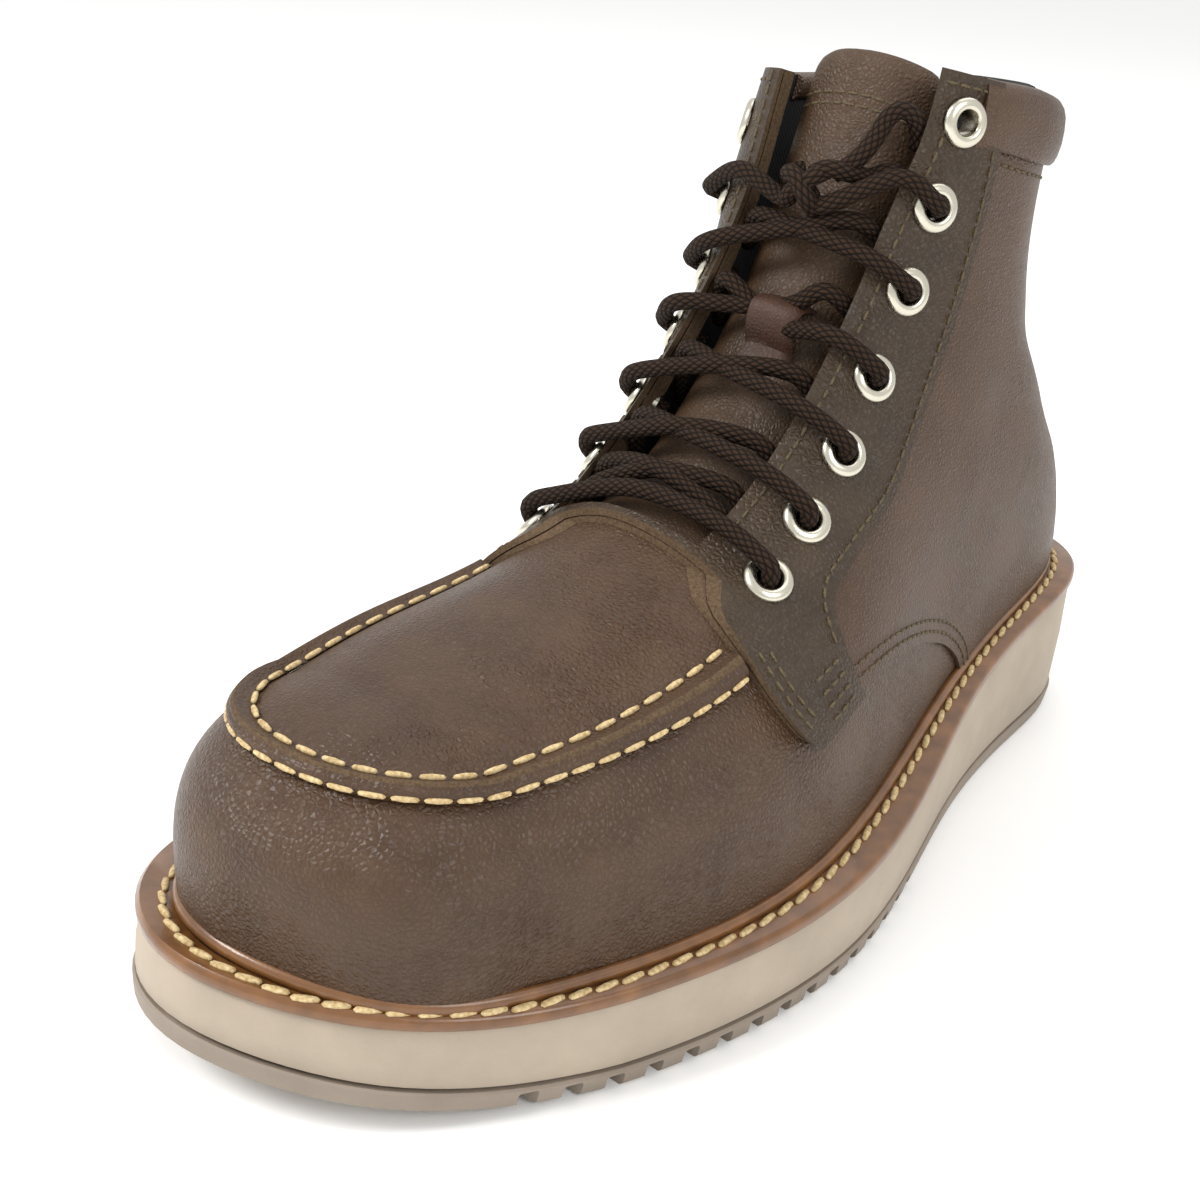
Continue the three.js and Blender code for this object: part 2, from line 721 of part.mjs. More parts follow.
// A ridge laid on the vamp along the seam, as a loft of four-sided sections
function makeSeamRidge() {
  const lay = (pointAt, girth) => [
    pointAt(girth - ridgeGirth, fit), pointAt(girth - ridgeGirth * 0.6, fit + ridgeRise),
    pointAt(girth + ridgeGirth * 0.6, fit + ridgeRise), pointAt(girth + ridgeGirth, fit),
  ];
  const steps = [2.4, 2, 1.5, 1, 0.5, 0];
  const sideGirth = (station) => readTable(seamSide, 'station', 'girth', station);
  const toeGirth = (angle) => readTable(seamToe, 'angle', 'girth', angle);
  const sections = [
    ...steps.map((s) => lay((g, o) => formPoint(s, g, 1, o), sideGirth(s))),
    ...toeAngles.slice(1, -1).reverse().map((a) => lay((g, o) => toePoint(a, g, o), toeGirth(a))),
    ...steps.slice().reverse().map((s) => lay((g, o) => formPoint(s, g, -1, o), sideGirth(s))),
  ];
  const points = sections.flat();
  const faces = [];
  for (let i = 0; i < sections.length - 1; i += 1) {
    for (let j = 0; j < 4; j += 1) {
      const a = i * 4 + j;
      const b = i * 4 + (j + 1) % 4;
      faces.push([a, b, a + 4], [b, b + 4, a + 4]);
    }
  }
  const end = (sections.length - 1) * 4;
  faces.push([0, 2, 1], [0, 3, 2], [end, end + 1, end + 2], [end, end + 2, end + 3]);
  return solidFrom(points, faces);
}

// Eyelets: a rolled flange on the facing and a barrel through the leather
function eyeletGeometry(seat) {
  const depth = facingSkin + wall - fit;
  const profile = [
    [eyeletHole, -depth], [eyeletBarrel, -depth], [eyeletBarrel, flangeSeat], [eyeletFlange, flangeSeat],
    [eyeletHole, flangeSeat + flangeThickness], [eyeletHole, -depth],
  ].map(([r, z]) => new THREE.Vector2(r, z));
  return alongAxis(new THREE.LatheGeometry(profile, 8), seat);
}

// Lace: a cord along a smooth line
function cordSolid(points, steps) {
  const shape = new THREE.Shape();
  shape.absarc(0, 0, laceDiameter / 2, 0, Math.PI * 2, false);
  const extrudePath = new THREE.CatmullRomCurve3(points, false, 'centripetal');
  return solidOf(new THREE.ExtrudeGeometry(shape, { steps, extrudePath, curveSegments: 4 }));
}

const laceRadius = laceDiameter / 2;
const slack = 0.6;
const strandRise = 0.46;
const overEyelet = facingSkin + flangeSeat + flangeThickness + laceRadius + 2 * slack;
const overEdge = facingSkin + fit + laceRadius + slack;
const overTongue = laceRadius + fit - wall + 2 * slack;
const tuckGap = laceRadius + 1;
const throatPlace = (station, share) => {
  const [left, right] = throatSides(station);
  return (left + right) / 2 + ((right - left) / 2) * share;
};

// The point of the form that lies at x on a section
function pointAcross(station, x, outset) {
  const side = x < 0 ? -1 : 1;
  let low = bellyGirth;
  let high = 1;
  for (let i = 0; i < 24; i += 1) {
    const middle = (low + high) / 2;
    if (formPoint(station, middle, side, outset).x * side > Math.abs(x)) low = middle;
    else high = middle;
  }
  return formPoint(station, low, side, outset);
}

const edgePoint = (level, side) => {
  const [station] = eyeletPlace(level, side);
  return pointAcross(station, throatPlace(station, side) + side, overEdge);
};
const seatPoint = (level, side) => formPoint(...eyeletPlace(level, side), side, overEyelet);
const tuckPoint = (station, side) => (
  pointAcross(station, throatPlace(station, side) - side * tuckGap, overTongue - slack));
const between = (level, side, share) => {
  const [low] = eyeletPlace(level, side);
  const [high] = eyeletPlace(level + 1, side);
  return low + (high - low) * share;
};

// From an eyelet over the facing's edge, across the tongue and up behind the other facing
function strand(level, side) {
  const [from] = eyeletPlace(level, side);
  const to = between(level, -side, strandRise);
  const middle = from + (to - from) * 0.42;
  return [
    seatPoint(level, side), edgePoint(level, side),
    pointAcross(middle, throatPlace(middle, 0), overTongue + (side > 0 ? 0 : slack)), tuckPoint(to, -side),
  ];
}

function makeLaceCross(level) {
  return cordSolid(strand(level, 1), 8).add(cordSolid(strand(level, -1), 8));
}

// The lowest crossing shows only between the facings' edges, and its ends rest on the tongue
const lowCrossFrom = 0.4;
const lowCrossMiddle = 0.54;
const lowCrossTo = 0.74;
const restPoint = (station, side) => (
  pointAcross(station, throatPlace(station, side) - side * tuckGap, tongueDepth(station) + 2 * fit + laceRadius));
function makeLowCross() {
  const run = (side, lift) => {
    const middle = (between(1, 1, lowCrossMiddle) + between(1, -1, lowCrossMiddle)) / 2;
    return cordSolid([
      restPoint(between(1, -side, lowCrossFrom), -side),
      pointAcross(middle, throatPlace(middle, 0), overTongue + lift),
      restPoint(between(1, side, lowCrossTo), side),
    ], 5);
  };
  return run(1, 0).add(run(-1, slack));
}

function makeLaceBar() {
  const [station] = eyeletPlace(1, 1);
  return cordSolid([
    seatPoint(1, 1), edgePoint(1, 1), pointAcross(station, throatPlace(station, 0), overTongue + 4 * slack),
    edgePoint(1, -1), seatPoint(1, -1),
  ], 10);
}

// Knot with its two arms, then the loop and the end that tuck in behind the outer facing.
// The routes are chosen by hand.
const knotCentre = new THREE.Vector3(5.5, 14.6, 157.2);
const knotHalf = new THREE.Vector3(7.2, 5.2, 6.4);
const loopRoute = [
  [13.4, 18.4, 162.8], [15.2, 20.4, 165.6], [16.4, 22.8, 169.2], [17.4, 24.4, 172.6], [19.4, 26, 174.6],
  [21.3, 28.4, 173.4], [21.8, 30.6, 170], [21.2, 31.8, 166.4],
].map((spot) => new THREE.Vector3(...spot));
const endRoute = [
  [16, 21.6, 160.1], [18.4, 24.1, 161.3], [20.8, 27.1, 161.3],
].map((spot) => new THREE.Vector3(...spot));

function makeKnot() {
  const body = new THREE.SphereGeometry(1, 10, 6);
  body.scale(knotHalf.x, knotHalf.y, knotHalf.z);
  body.translate(knotCentre.x, knotCentre.y, knotCentre.z);
  const arm = (side) => cordSolid([
    seatPoint(6, side), edgePoint(6, side),
    knotCentre.clone().add(new THREE.Vector3(side * knotHalf.x * 0.6, 0, -knotHalf.z * 0.4)),
  ], 6);
  return solidOf(body).add(arm(1)).add(arm(-1));
}

// Lace keeper on the tongue, between the fourth and the fifth eyelets
function makeKeeper() {
  const bottom = (station) => tongueDepth(station) + fit;
  const strap = formSolid((station) => bottom(station) + keeperThickness).subtract(formSolid(bottom));
  return strap.intersect(ridgeTunnel(keeperFrom, keeperTo, () => (
    [keeperShift - keeperWidth / 2, keeperShift + keeperWidth / 2]), tongueWrap, 6));
}

// Pull loop: two legs of webbing, inside and outside the collar, joined above it
function makePullLoop() {
  const outside = quarterStep + fit + collarPadding + fit;
  const inside = -wall - fit;
  const top = formHeight * collarLine[collarLine.length - 1].rise + pullRise;
  const block = (from, to) => {
    const box = new THREE.BoxGeometry(pullWidth, 90, to - from);
    box.translate(0, alongToY(0.1), (from + to) / 2);
    return solidOf(box);
  };
  const outerLeg = form(outside + pullThickness).subtract(form(outside));
  const innerLeg = form(inside).subtract(form(inside - pullThickness));
  const bridge = form(outside + pullThickness).subtract(form(inside - pullThickness));
  const low = top - pullRise - pullDrop;
  return outerLeg.add(innerLeg).intersect(block(low, top))
    .add(bridge.intersect(block(top - pullThickness, top)));
}

// Palette of the leather, the soles and the trim
function look(color, roughness, metalness = 0) {
  return new THREE.MeshStandardMaterial({ color, roughness, metalness });
}
const leather = look('#5c4838', 0.55);
const weltLeather = look('#7d4f28', 0.35);
const midsoleFoam = look('#b8ad98', 0.8);
const outsoleRubber = look('#9a8f81', 0.8);
const nickel = look('#d9d6c8', 0.3, 1);
const laceCord = look('#2e2521', 0.85);
const lining = look('#1d1a18', 0.9);
const webbing = look('#161514', 0.9);
const keeperLeather = look('#4f332a', 0.5);

const boot = new THREE.Group();
const pieces = [];
function put(name, geometry, material) {
  const mesh = new THREE.Mesh(geometry, material);
  mesh.name = name;
  boot.add(mesh);
  pieces.push(mesh);
}

put('outsole', geometryOf(makeOutsole()), outsoleRubber);
put('midsole', geometryOf(makeMidsole()), midsoleFoam);
put('welt', geometryOf(makeWelt()), weltLeather);
put('insole', geometryOf(makeInsole()), lining);
put('upper', geometryOf(makeUpper()), leather);
put('tongue', geometryOf(makeTongue()), leather);
put('facing_outer', geometryOf(makeFacing(1)), leather);
put('facing_inner', geometryOf(makeFacing(-1)), leather);
put('collar_band', geometryOf(makeCollarBand()), leather);
put('seam_ridge', geometryOf(makeSeamRidge()), leather);
for (const seat of eyeletSeats) {
  put(`eyelet_${seat.side > 0 ? 'outer' : 'inner'}_${seat.level}`, eyeletGeometry(seat), nickel);
}
put('lace_bar_1', geometryOf(makeLaceBar()), laceCord);
put('lace_cross_1', geometryOf(makeLowCross()), laceCord);
for (const level of [2, 3, 4, 5]) put(`lace_cross_${level}`, geometryOf(makeLaceCross(level)), laceCord);
put('lace_knot', geometryOf(makeKnot()), laceCord);
put('lace_loop', geometryOf(cordSolid(loopRoute, 10)), laceCord);
put('lace_end', geometryOf(cordSolid(endRoute, 5)), laceCord);
put('lace_keeper', geometryOf(makeKeeper()), keeperLeather);
put('pull_loop', geometryOf(makePullLoop()), webbing);

// The origin goes to the floor, under the middle of the sole's own box
const frame = new THREE.Box3();
for (const mesh of pieces) frame.expandByObject(mesh);
const centre = frame.getCenter(new THREE.Vector3());
boot.position.set(-centre.x, -centre.y, -frame.min.z);
boot.updateMatrixWorld(true);

export default boot;
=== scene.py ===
# Lace-up ankle boot for the left foot: the looks over the solid model.
# Metres, +Z up, toe towards -Y, outer side of the foot towards +X.
import math

import bpy
from mathutils import Matrix, Vector
from mathutils.bvhtree import BVHTree


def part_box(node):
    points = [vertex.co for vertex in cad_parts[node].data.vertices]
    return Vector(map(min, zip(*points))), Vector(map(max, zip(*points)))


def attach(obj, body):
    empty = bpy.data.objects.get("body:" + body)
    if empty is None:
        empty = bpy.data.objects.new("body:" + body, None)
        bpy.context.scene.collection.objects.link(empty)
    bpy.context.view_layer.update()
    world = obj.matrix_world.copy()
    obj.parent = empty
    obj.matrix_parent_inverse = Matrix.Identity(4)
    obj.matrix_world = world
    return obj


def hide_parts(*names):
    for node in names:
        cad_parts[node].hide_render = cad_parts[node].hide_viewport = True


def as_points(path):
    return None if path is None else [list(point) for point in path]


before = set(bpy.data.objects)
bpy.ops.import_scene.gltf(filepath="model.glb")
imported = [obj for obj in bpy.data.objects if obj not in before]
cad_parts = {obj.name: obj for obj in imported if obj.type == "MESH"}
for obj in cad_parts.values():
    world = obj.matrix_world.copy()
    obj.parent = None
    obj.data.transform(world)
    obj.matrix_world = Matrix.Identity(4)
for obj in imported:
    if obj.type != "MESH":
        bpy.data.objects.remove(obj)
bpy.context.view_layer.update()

# Driving sizes of the boot, in metres
MM = 0.001
pull_low, pull_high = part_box("pull_loop")
foot_line_x = (pull_low[0] + pull_high[0]) / 2
sole_length = 0.3003
sole_shift = 0.000585
heel_end_y = sole_length / 2 + sole_shift
sole_width = 0.113
form_height = 0.2
form_width = 0.1
heel_stack = 0.0394
forefoot_stack = 0.0213
toe_spring = 0.0145
outsole_thickness = 0.0048
sole_tuck = 0.0007
toe_lean = 0.003
notch_width = 0.0038
notch_depth = 0.0038
notch_reach = 0.013
notch_pitch = 0.0086
notch_count = 15
notch_start = 0.46
welt_thickness = 0.0032
welt_lip = 0.0009
toe_reach = 0.038
toe_squareness = 2.2
toe_tuck = 0.006
tuck_top = 0.62
wall = 0.0022
quarter_step = 0.0013
facing_thickness = 0.0015
collar_padding = 0.0024
throat_shift = 0.005
sink_span = 0.037
lace_diameter = 0.0044
lace_radius = lace_diameter / 2
braid_radius = 0.00202
fit = 0.0003
facing_skin = quarter_step + fit + facing_thickness

# Camera, fitted to the sole's edge, the seams and the eyelets in the photograph
camera_place = (0.2041, -0.2954, 0.2225)
camera_azimuth = 39.82
camera_elevation = 24.15
camera_roll = 4.04
camera_lens = 49.97
camera_shift = (-0.001, -0.0058)

# Sole outline: share of the length from the heel, half widths as shares of the width
SOLE_OUTLINE = [
    (-0.008, 0, 0),
    (0.016, 0.235, 0.234),
    (0.089, 0.326, 0.324),
    (0.193, 0.344, 0.319),
    (0.319, 0.398, 0.319),
    (0.446, 0.508, 0.345),
    (0.572, 0.598, 0.394),
    (0.699, 0.58, 0.42),
    (0.825, 0.484, 0.42),
    (0.942, 0.314, 0.385),
    (1.028, -0.053, 0.053),
]
# Side of the sole: place, then the shares of the wedge, the body and the toe spring
SOLE_SIDE = [
    (-0.02, 1, 1, 0),
    (0.146, 0.88, 1, 0),
    (0.312, 0.62, 1, 0),
    (0.479, 0.24, 1, 0),
    (0.645, 0.04, 1, 0),
    (0.8, 0, 1, 0),
    (0.928, 0, 0.86, 0.34),
    (1.03, 0, 0.72, 1),
]
# Upper: top along and rise, base along and rise, outer and inner half widths,
# belly, floor, crown, keel, and how far the inner side of the top lies lower
UPPER_SECTIONS = [
    (0.855, 0.36, 0.855, 0.07, 0.455, 0.355, 0.42, 0.9, 2.6, 2.3, 0),
    (0.769, 0.383, 0.779, 0.07, 0.545, 0.41, 0.4, 0.92, 2.45, 2.3, 0.006),
    (0.687, 0.41, 0.685, 0.07, 0.6, 0.41, 0.36, 0.93, 2.25, 2.3, 0.02),
    (0.615, 0.443, 0.585, 0.075, 0.6, 0.395, 0.34, 0.93, 2.1, 2.3, 0.02),
    (0.567, 0.5, 0.462, 0.09, 0.525, 0.365, 0.36, 0.9, 2.15, 2.3, 0.01),
    (0.527, 0.565, 0.329, 0.105, 0.435, 0.34, 0.42, 0.84, 2.35, 2.2, 0.014),
    (0.492, 0.638, 0.186, 0.12, 0.372, 0.322, 0.48, 0.66, 2.5, 2.2, 0.018),
    (0.462, 0.713, 0.026, 0.13, 0.352, 0.315, 0.52, 0.45, 2.6, 2.1, 0.018),
    (0.449, 0.753, 0.012, 0.3, 0.342, 0.318, 0.54, 0, 2.7, 2, 0.018),
    (0.437, 0.793, 0.126, 0.47, 0.316, 0.296, 0.54, 0, 2.7, 1.9, 0.018),
    (0.419, 0.876, 0.168, 0.625, 0.305, 0.27, 0.52, 0, 2.7, 1.85, 0.018),
    (0.407, 0.94, 0.166, 0.775, 0.305, 0.247, 0.51, 0, 2.7, 1.85, 0.018),
    (0.399, 1.0, 0.146, 0.93, 0.305, 0.228, 0.5, 0, 2.7, 1.85, 0.018),
]
# Side-view lines of the panels: along and rise
TAB_FRONT = [
    (0.622, 0.288),
    (0.634, 0.3),
    (0.646, 0.328),
    (0.651, 0.357),
    (0.65, 0.386),
    (0.645, 0.408),
    (0.626, 0.429),
]
FACING_BACK = [
    (0.345, 0.96),
    (0.342, 0.864),
    (0.341, 0.817),
    (0.355, 0.727),
    (0.391, 0.596),
    (0.4515, 0.4875),
    (0.521, 0.4345),
    (0.558, 0.405),
    (0.566, 0.366),
    (0.562, 0.33),
    (0.556, 0.309),
]
QUARTER_LOW = [
    (0.622, 0.288),
    (0.585, 0.303),
    (0.53, 0.31),
    (0.47, 0.304),
    (0.406, 0.279),
    (0.356, 0.2425),
    (0.318, 0.19),
    (0.305, 0.12),
]
COLLAR_LINE = [(0.52, 0.965), (0.39, 0.918), (0.342, 0.903), (0.285, 0.89), (0.18, 0.86), (0, 0.842)]
COLLAR_LOW = [(0.342, 0.829), (0.254, 0.804), (0.12, 0.778), (0, 0.768)]
# Collar line on the inner side, which lies lower in front
COLLAR_INNER = [(0.52, 0.93), (0.39, 0.888), (0.342, 0.878), (0.285, 0.873), (0.18, 0.856), (0, 0.842)]
# Edges of the throat: station, then the inner and the outer edge's place across the foot in millimetres
THROAT_EDGES = [
    (3, -21, 21.5),
    (4.2, -22, 22.5),
    (5.2, -18.5, 22.5),
    (6.2, -14.5, 22),
    (7.8, -12, 22),
    (9, -11.6, 23),
    (10, -12, 24.5),
    (12, -12, 24.5),
]
# Eyelets from the lowest to the top one: station and girth
EYELETS_OUTER = [
    (3.28, 0.743),
    (4.18, 0.728),
    (5.15, 0.702),
    (6.14, 0.692),
    (7.44, 0.688),
    (9.15, 0.634),
    (10.33, 0.592),
]
EYELETS_INNER = [
    (3.12, 0.715),
    (4.2, 0.714),
    (5.12, 0.726),
    (6.08, 0.742),
    (7.05, 0.75),
    (8.7, 0.721),
    (9.85, 0.689),
]
# Middle of the moccasin seam: toe angle and girth, then station and girth
SEAM_TOE = [(0, 0.7), (30, 0.745), (65, 0.765), (115, 0.765), (150, 0.745), (180, 0.7)]
SEAM_SIDE = [(0, 0.7), (0.8, 0.688), (1.6, 0.689), (2.4, 0.691)]


# Tables and curves
def ease(share):
    """A smooth step from 0 to 1."""
    share = min(max(share, 0), 1)
    return share * share * (3 - 2 * share)


def halve(low, high, beyond, rounds):
    """Halves the way from low to high again and again, towards the place where beyond turns true."""
    for _ in range(rounds):
        middle = (low + high) / 2
        if beyond(middle):
            high = middle
        else:
            low = middle
    return low


def spline_weights(t):
    s = 1 - t
    return (s**3 / 6, (3 * t**3 - 6 * t * t + 4) / 6, (-3 * t**3 + 3 * t * t + 3 * t + 1) / 6, t**3 / 6)


def blend_rows(rows, place):
    last = len(rows) - 1
    at = min(max(place, 0), last - 1e-9)
    base = int(at)
    total = [0.0] * len(rows[0])
    for step, weight in enumerate(spline_weights(at - base)):
        index = base + step - 1
        for k in range(len(total)):
            if index < 0:
                value = 2 * rows[0][k] - rows[1][k]
            elif index > last:
                value = 2 * rows[last][k] - rows[last - 1][k]
            else:
                value = rows[index][k]
            total[k] += weight * value
    return total


def read_table(rows, column, place):
    last = len(rows) - 1
    i = 0
    while i < last - 1 and place > rows[i + 1][0]:
        i += 1

    def slope(j):
        a = rows[max(j - 1, 0)]
        b = rows[min(j + 1, last)]
        return (b[column] - a[column]) / (b[0] - a[0])

    span = rows[i + 1][0] - rows[i][0]
    t = min(max((place - rows[i][0]) / span, 0), 1)
    return (
        (2 * t**3 - 3 * t * t + 1) * rows[i][column]
        + (t**3 - 2 * t * t + t) * span * slope(i)
        + (3 * t * t - 2 * t**3) * rows[i + 1][column]
        + (t**3 - t * t) * span * slope(i + 1)
    )


def along_y(along):
    return heel_end_y - along * sole_length


def smooth_line(points, step):
    """Catmull-Rom line through points, in pieces of about one step."""
    points = [Vector(p) for p in points]
    ends = [2 * points[0] - points[1], *points, 2 * points[-1] - points[-2]]
    parts = 12
    fine = []
    for a, b, c, d in zip(ends, ends[1:], ends[2:], ends[3:]):
        for k in range(parts):
            t = k / parts
            square = (2 * a - 5 * b + 4 * c - d) * t**2
            cube = (3 * b - a - 3 * c + d) * t**3
            fine.append(0.5 * (2 * b + (c - a) * t + square + cube))
    fine.append(points[-1])
    return even_line(fine, step)


def even_line(points, step):
    """The same line with points a whole number of even steps apart."""
    lengths = [0.0]
    for a, b in zip(points, points[1:]):
        lengths.append(lengths[-1] + (b - a).length)
    count = max(1, round(lengths[-1] / step))
    line = []
    k = 0
    for i in range(count + 1):
        want = lengths[-1] * i / count
        while k < len(points) - 2 and lengths[k + 1] < want:
            k += 1
        span = max(lengths[k + 1] - lengths[k], 1e-9)
        line.append(points[k].lerp(points[k + 1], min(max((want - lengths[k]) / span, 0), 1)))
    return line


def side_spots(*rows):
    """Side-view points as (y, z) pairs, from their shares along and up."""
    return [(along_y(along), rise * form_height) for along, rise in rows]


def side_line(rows, step=0.002):
    """A smooth side-view line as (y, z) pairs."""
    line = smooth_line([(0, y, z) for y, z in side_spots(*rows)], step)
    return [(p.y, p.z) for p in line]


# The sole's outline and heights
OUTLINE_COUNT = 200


def outline_ring():
    rows = SOLE_OUTLINE
    loop = [(r[1] * sole_width, along_y(r[0])) for r in rows]
    loop += [(-r[2] * sole_width, along_y(r[0])) for r in rows[-2:0:-1]]
    ring = []
    for i in range(OUTLINE_COUNT):
        place = i / OUTLINE_COUNT * len(loop)
        base = int(place)
        x = 0.0
        y = 0.0
        for step, weight in enumerate(spline_weights(place - base)):
            control = loop[(base + step - 1) % len(loop)]
            x += weight * control[0]
            y += weight * control[1]
        ring.append(Vector((x + foot_line_x, y, 0)))
    outs = []
    for i in range(OUTLINE_COUNT):
        along = ring[(i + 1) % OUTLINE_COUNT] - ring[i - 1]
        outs.append(Vector((-along.y, along.x, 0)).normalized())
    return ring, outs


SOLE_RING, SOLE_OUTS = outline_ring()


def along_of(y):
    return (heel_end_y - y) / sole_length


def floor_z(y):
    return toe_spring * max(read_table(SOLE_SIDE, 3, along_of(y)), 0)


def stack_z(y):
    wedge = (heel_stack - forefoot_stack) * read_table(SOLE_SIDE, 1, along_of(y))
    return forefoot_stack * read_table(SOLE_SIDE, 2, along_of(y)) + wedge + floor_z(y)


LEAN_FROM = 0.83
LEAN_SPAN = 0.18


def lean_at(y):
    """How far the sole's edge leans in: more round the toe."""
    return toe_lean * ease((along_of(y) - LEAN_FROM) / LEAN_SPAN) - sole_tuck


# The upper's form
BELLY_GIRTH = 0.35
section_cache = {}


def section_at(station):
    key = round(station, 4)
    if key not in section_cache:
        row = blend_rows(UPPER_SECTIONS, station)
        top = Vector((0, along_y(row[0]), row[1] * form_height))
        base = Vector((0, along_y(row[2]), row[3] * form_height))
        section_cache[key] = (row, top, base, (top - base).normalized())
    return section_cache[key]


def girth_shares(row, girth):
    if girth <= BELLY_GIRTH:
        turn = max(girth, 0) / BELLY_GIRTH * math.pi / 2
        wide = row[7] + (1 - row[7]) * math.sin(turn) ** (2 / row[9])
        return wide, row[6] * (1 - max(math.cos(turn), 0) ** (2 / row[9]))
    turn = (min(girth, 1) - BELLY_GIRTH) / (1 - BELLY_GIRTH) * math.pi / 2
    return max(math.cos(turn), 0) ** (2 / row[8]), row[6] + (1 - row[6]) * math.sin(turn) ** (2 / row[8])


def inner_sink(row, x, high):
    """How much lower the form's top lies on the inner side of the throat."""
    return row[10] * form_height * ease((throat_shift - x) / sink_span) * high


def form_point(station, girth, side, outset=0.0):
    row, top, base, up = section_at(station)
    wide, high = girth_shares(row, girth)
    spot = (base - up * outset).lerp(top + up * outset, high)
    half = (row[4] if side > 0 else row[5]) * form_width + outset
    x = side * half * wide
    return Vector((foot_line_x + x, spot.y, spot.z - inner_sink(row, x, high)))


def toe_point(angle, girth, outset=0.0):
    turn = math.radians(angle)
    row, top, base, up = section_at(0)
    wide, high = girth_shares(row, girth)
    half = (row[4] if math.cos(turn) >= 0 else row[5]) * form_width + outset
    across = abs(math.cos(turn)) / half
    ahead = abs(math.sin(turn)) / (toe_reach + outset)
    reach = (across**toe_squareness + ahead**toe_squareness) ** (-1 / toe_squareness)
    # the lasted toe draws in above the welt
    corner = max(math.sin(2 * turn), 0) + 0.2 * math.sin(turn)
    reach -= toe_tuck * ease(1 - girth / tuck_top) * corner
    spot = (base - up * outset).lerp(top + up * outset, high)
    x = math.cos(turn) * reach * wide
    y = spot.y - math.sin(turn) * reach * wide
    return Vector((foot_line_x + x, y, spot.z - inner_sink(row, x, high)))


def girth_at(station, x, outset=0.0, rounds=24):
    """The girth of the form's line that lies at x, counted from the foot's own line."""
    side = -1 if x < 0 else 1

    def beyond(girth):
        return (form_point(station, girth, side, outset).x - foot_line_x) * side <= abs(x)

    return halve(BELLY_GIRTH, 1.0, beyond, rounds)


def point_across(station, x, outset=0.0):
    """The point of the form that lies at x, counted from the foot's own line."""
    return form_point(station, girth_at(station, x, outset), -1 if x < 0 else 1, outset)


# Building helpers
def pick(obj):
    """Makes obj the only selected object, and the active one."""
    bpy.ops.object.select_all(action="DESELECT")
    obj.select_set(True)
    bpy.context.view_layer.objects.active = obj
    return obj


def settle(obj):
    """Puts the object's place and turn into its mesh."""
    pick(obj)
    bpy.ops.object.transform_apply(location=True, rotation=True, scale=True)
    return obj


def grid_piece(name, across, down, place, close=True):
    """A grid whose corners are put where place(i, j) says, with its seams merged and its holes closed."""
    bpy.ops.object.select_all(action="DESELECT")
    bpy.ops.mesh.primitive_grid_add(x_subdivisions=across, y_subdivisions=down, size=2)
    obj = bpy.context.active_object
    obj.name = name
    for vertex in obj.data.vertices:
        i = round((vertex.co.x + 1) / 2 * across)
        j = round((vertex.co.y + 1) / 2 * down)
        vertex.co = place(i, j)
    if close:
        tidy(obj)
    return obj


def tidy(obj, merge=1e-6, fill=True):
    pick(obj)
    bpy.ops.object.mode_set(mode="EDIT")
    bpy.ops.mesh.select_all(action="SELECT")
    bpy.ops.mesh.remove_doubles(threshold=merge)
    bpy.ops.mesh.dissolve_degenerate(threshold=merge)
    if fill:
        bpy.ops.mesh.select_all(action="SELECT")
        bpy.ops.mesh.fill_holes(sides=0)
    bpy.ops.mesh.select_all(action="SELECT")
    bpy.ops.mesh.normals_make_consistent(inside=False)
    bpy.ops.object.mode_set(mode="OBJECT")
    return obj


def apply(obj, kind, **settings):
    """Adds a modifier, sets it and applies it."""
    pick(obj)
    modifier = obj.modifiers.new(kind.lower(), kind)
    for key, value in settings.items():
        setattr(modifier, key, value)
    bpy.ops.object.modifier_apply(modifier=modifier.name)
    return obj


def carve(obj, *tools, how="DIFFERENCE"):
    for tool in tools:
        apply(obj, "BOOLEAN", operation=how, object=tool, solver="MANIFOLD", material_mode="TRANSFER")
    return obj


def copy_of(obj, name):
    twin = obj.copy()
    twin.data = obj.data.copy()
    twin.name = name
    bpy.context.scene.collection.objects.link(twin)
    return twin


def drop(*objs):
    for obj in objs:
        bpy.data.objects.remove(obj)


def join(name, objs):
    pick(objs[0])
    for obj in objs[1:]:
        obj.select_set(True)
    bpy.ops.object.join()
    objs[0].name = name
    return objs[0]


def shade(obj, angle=40):
    pick(obj)
    bpy.ops.object.shade_smooth_by_angle(angle=math.radians(angle))
    return obj


FAR = 0.4


def prism(outline, from_x=-FAR, to_x=FAR):
    """A slab across the boot with a side-view outline of (y, z) pairs."""
    count = len(outline)
    xs = (from_x, to_x)

    def place(i, j):
        y, z = outline[j % count]
        return (xs[i], y, z)

    return grid_piece("slab", 1, count, place)


def sheet_place(j, columns):
    """Corner j of a sheet's section: its place across, from 1 to -1 and back, and the face it lies on."""
    k = j % (2 * columns)
    across = 1 - 2 * k / columns if k <= columns else 2 * (k - columns) / columns - 1
    return across, (1 if k < columns else -1)


def seated(here, out):
    """Turns a part's own axis to point out, and moves it here."""
    return Matrix.Translation(here) @ out.to_track_quat("Z", "Y").to_matrix().to_4x4()


def throat_sides(station):
    return [read_table(THROAT_EDGES, column, station) * MM for column in (1, 2)]


def throat_place(station, share):
    """A place across the throat, from -1 at its inner edge to 1 at its outer one."""
    left, right = throat_sides(station)
    return (left + right) / 2 + (right - left) / 2 * share


def ridge_tunnel(from_station, to_station, sides_at, reach_in, reach_out):
    """A tunnel along the front ridge, with the places of its two sides at each station."""
    steps = 40

    def place(i, j):
        station = from_station + (to_station - from_station) * i / steps
        row, top, base, up = section_at(station)
        left, right = sides_at(station)
        reach = (reach_out, reach_out, -reach_in, -reach_in)[j % 4]
        spot = top + up * reach
        return (foot_line_x + (right, left, left, right)[j % 4], spot.y, spot.z)

    return grid_piece("tunnel", steps, 4, place)


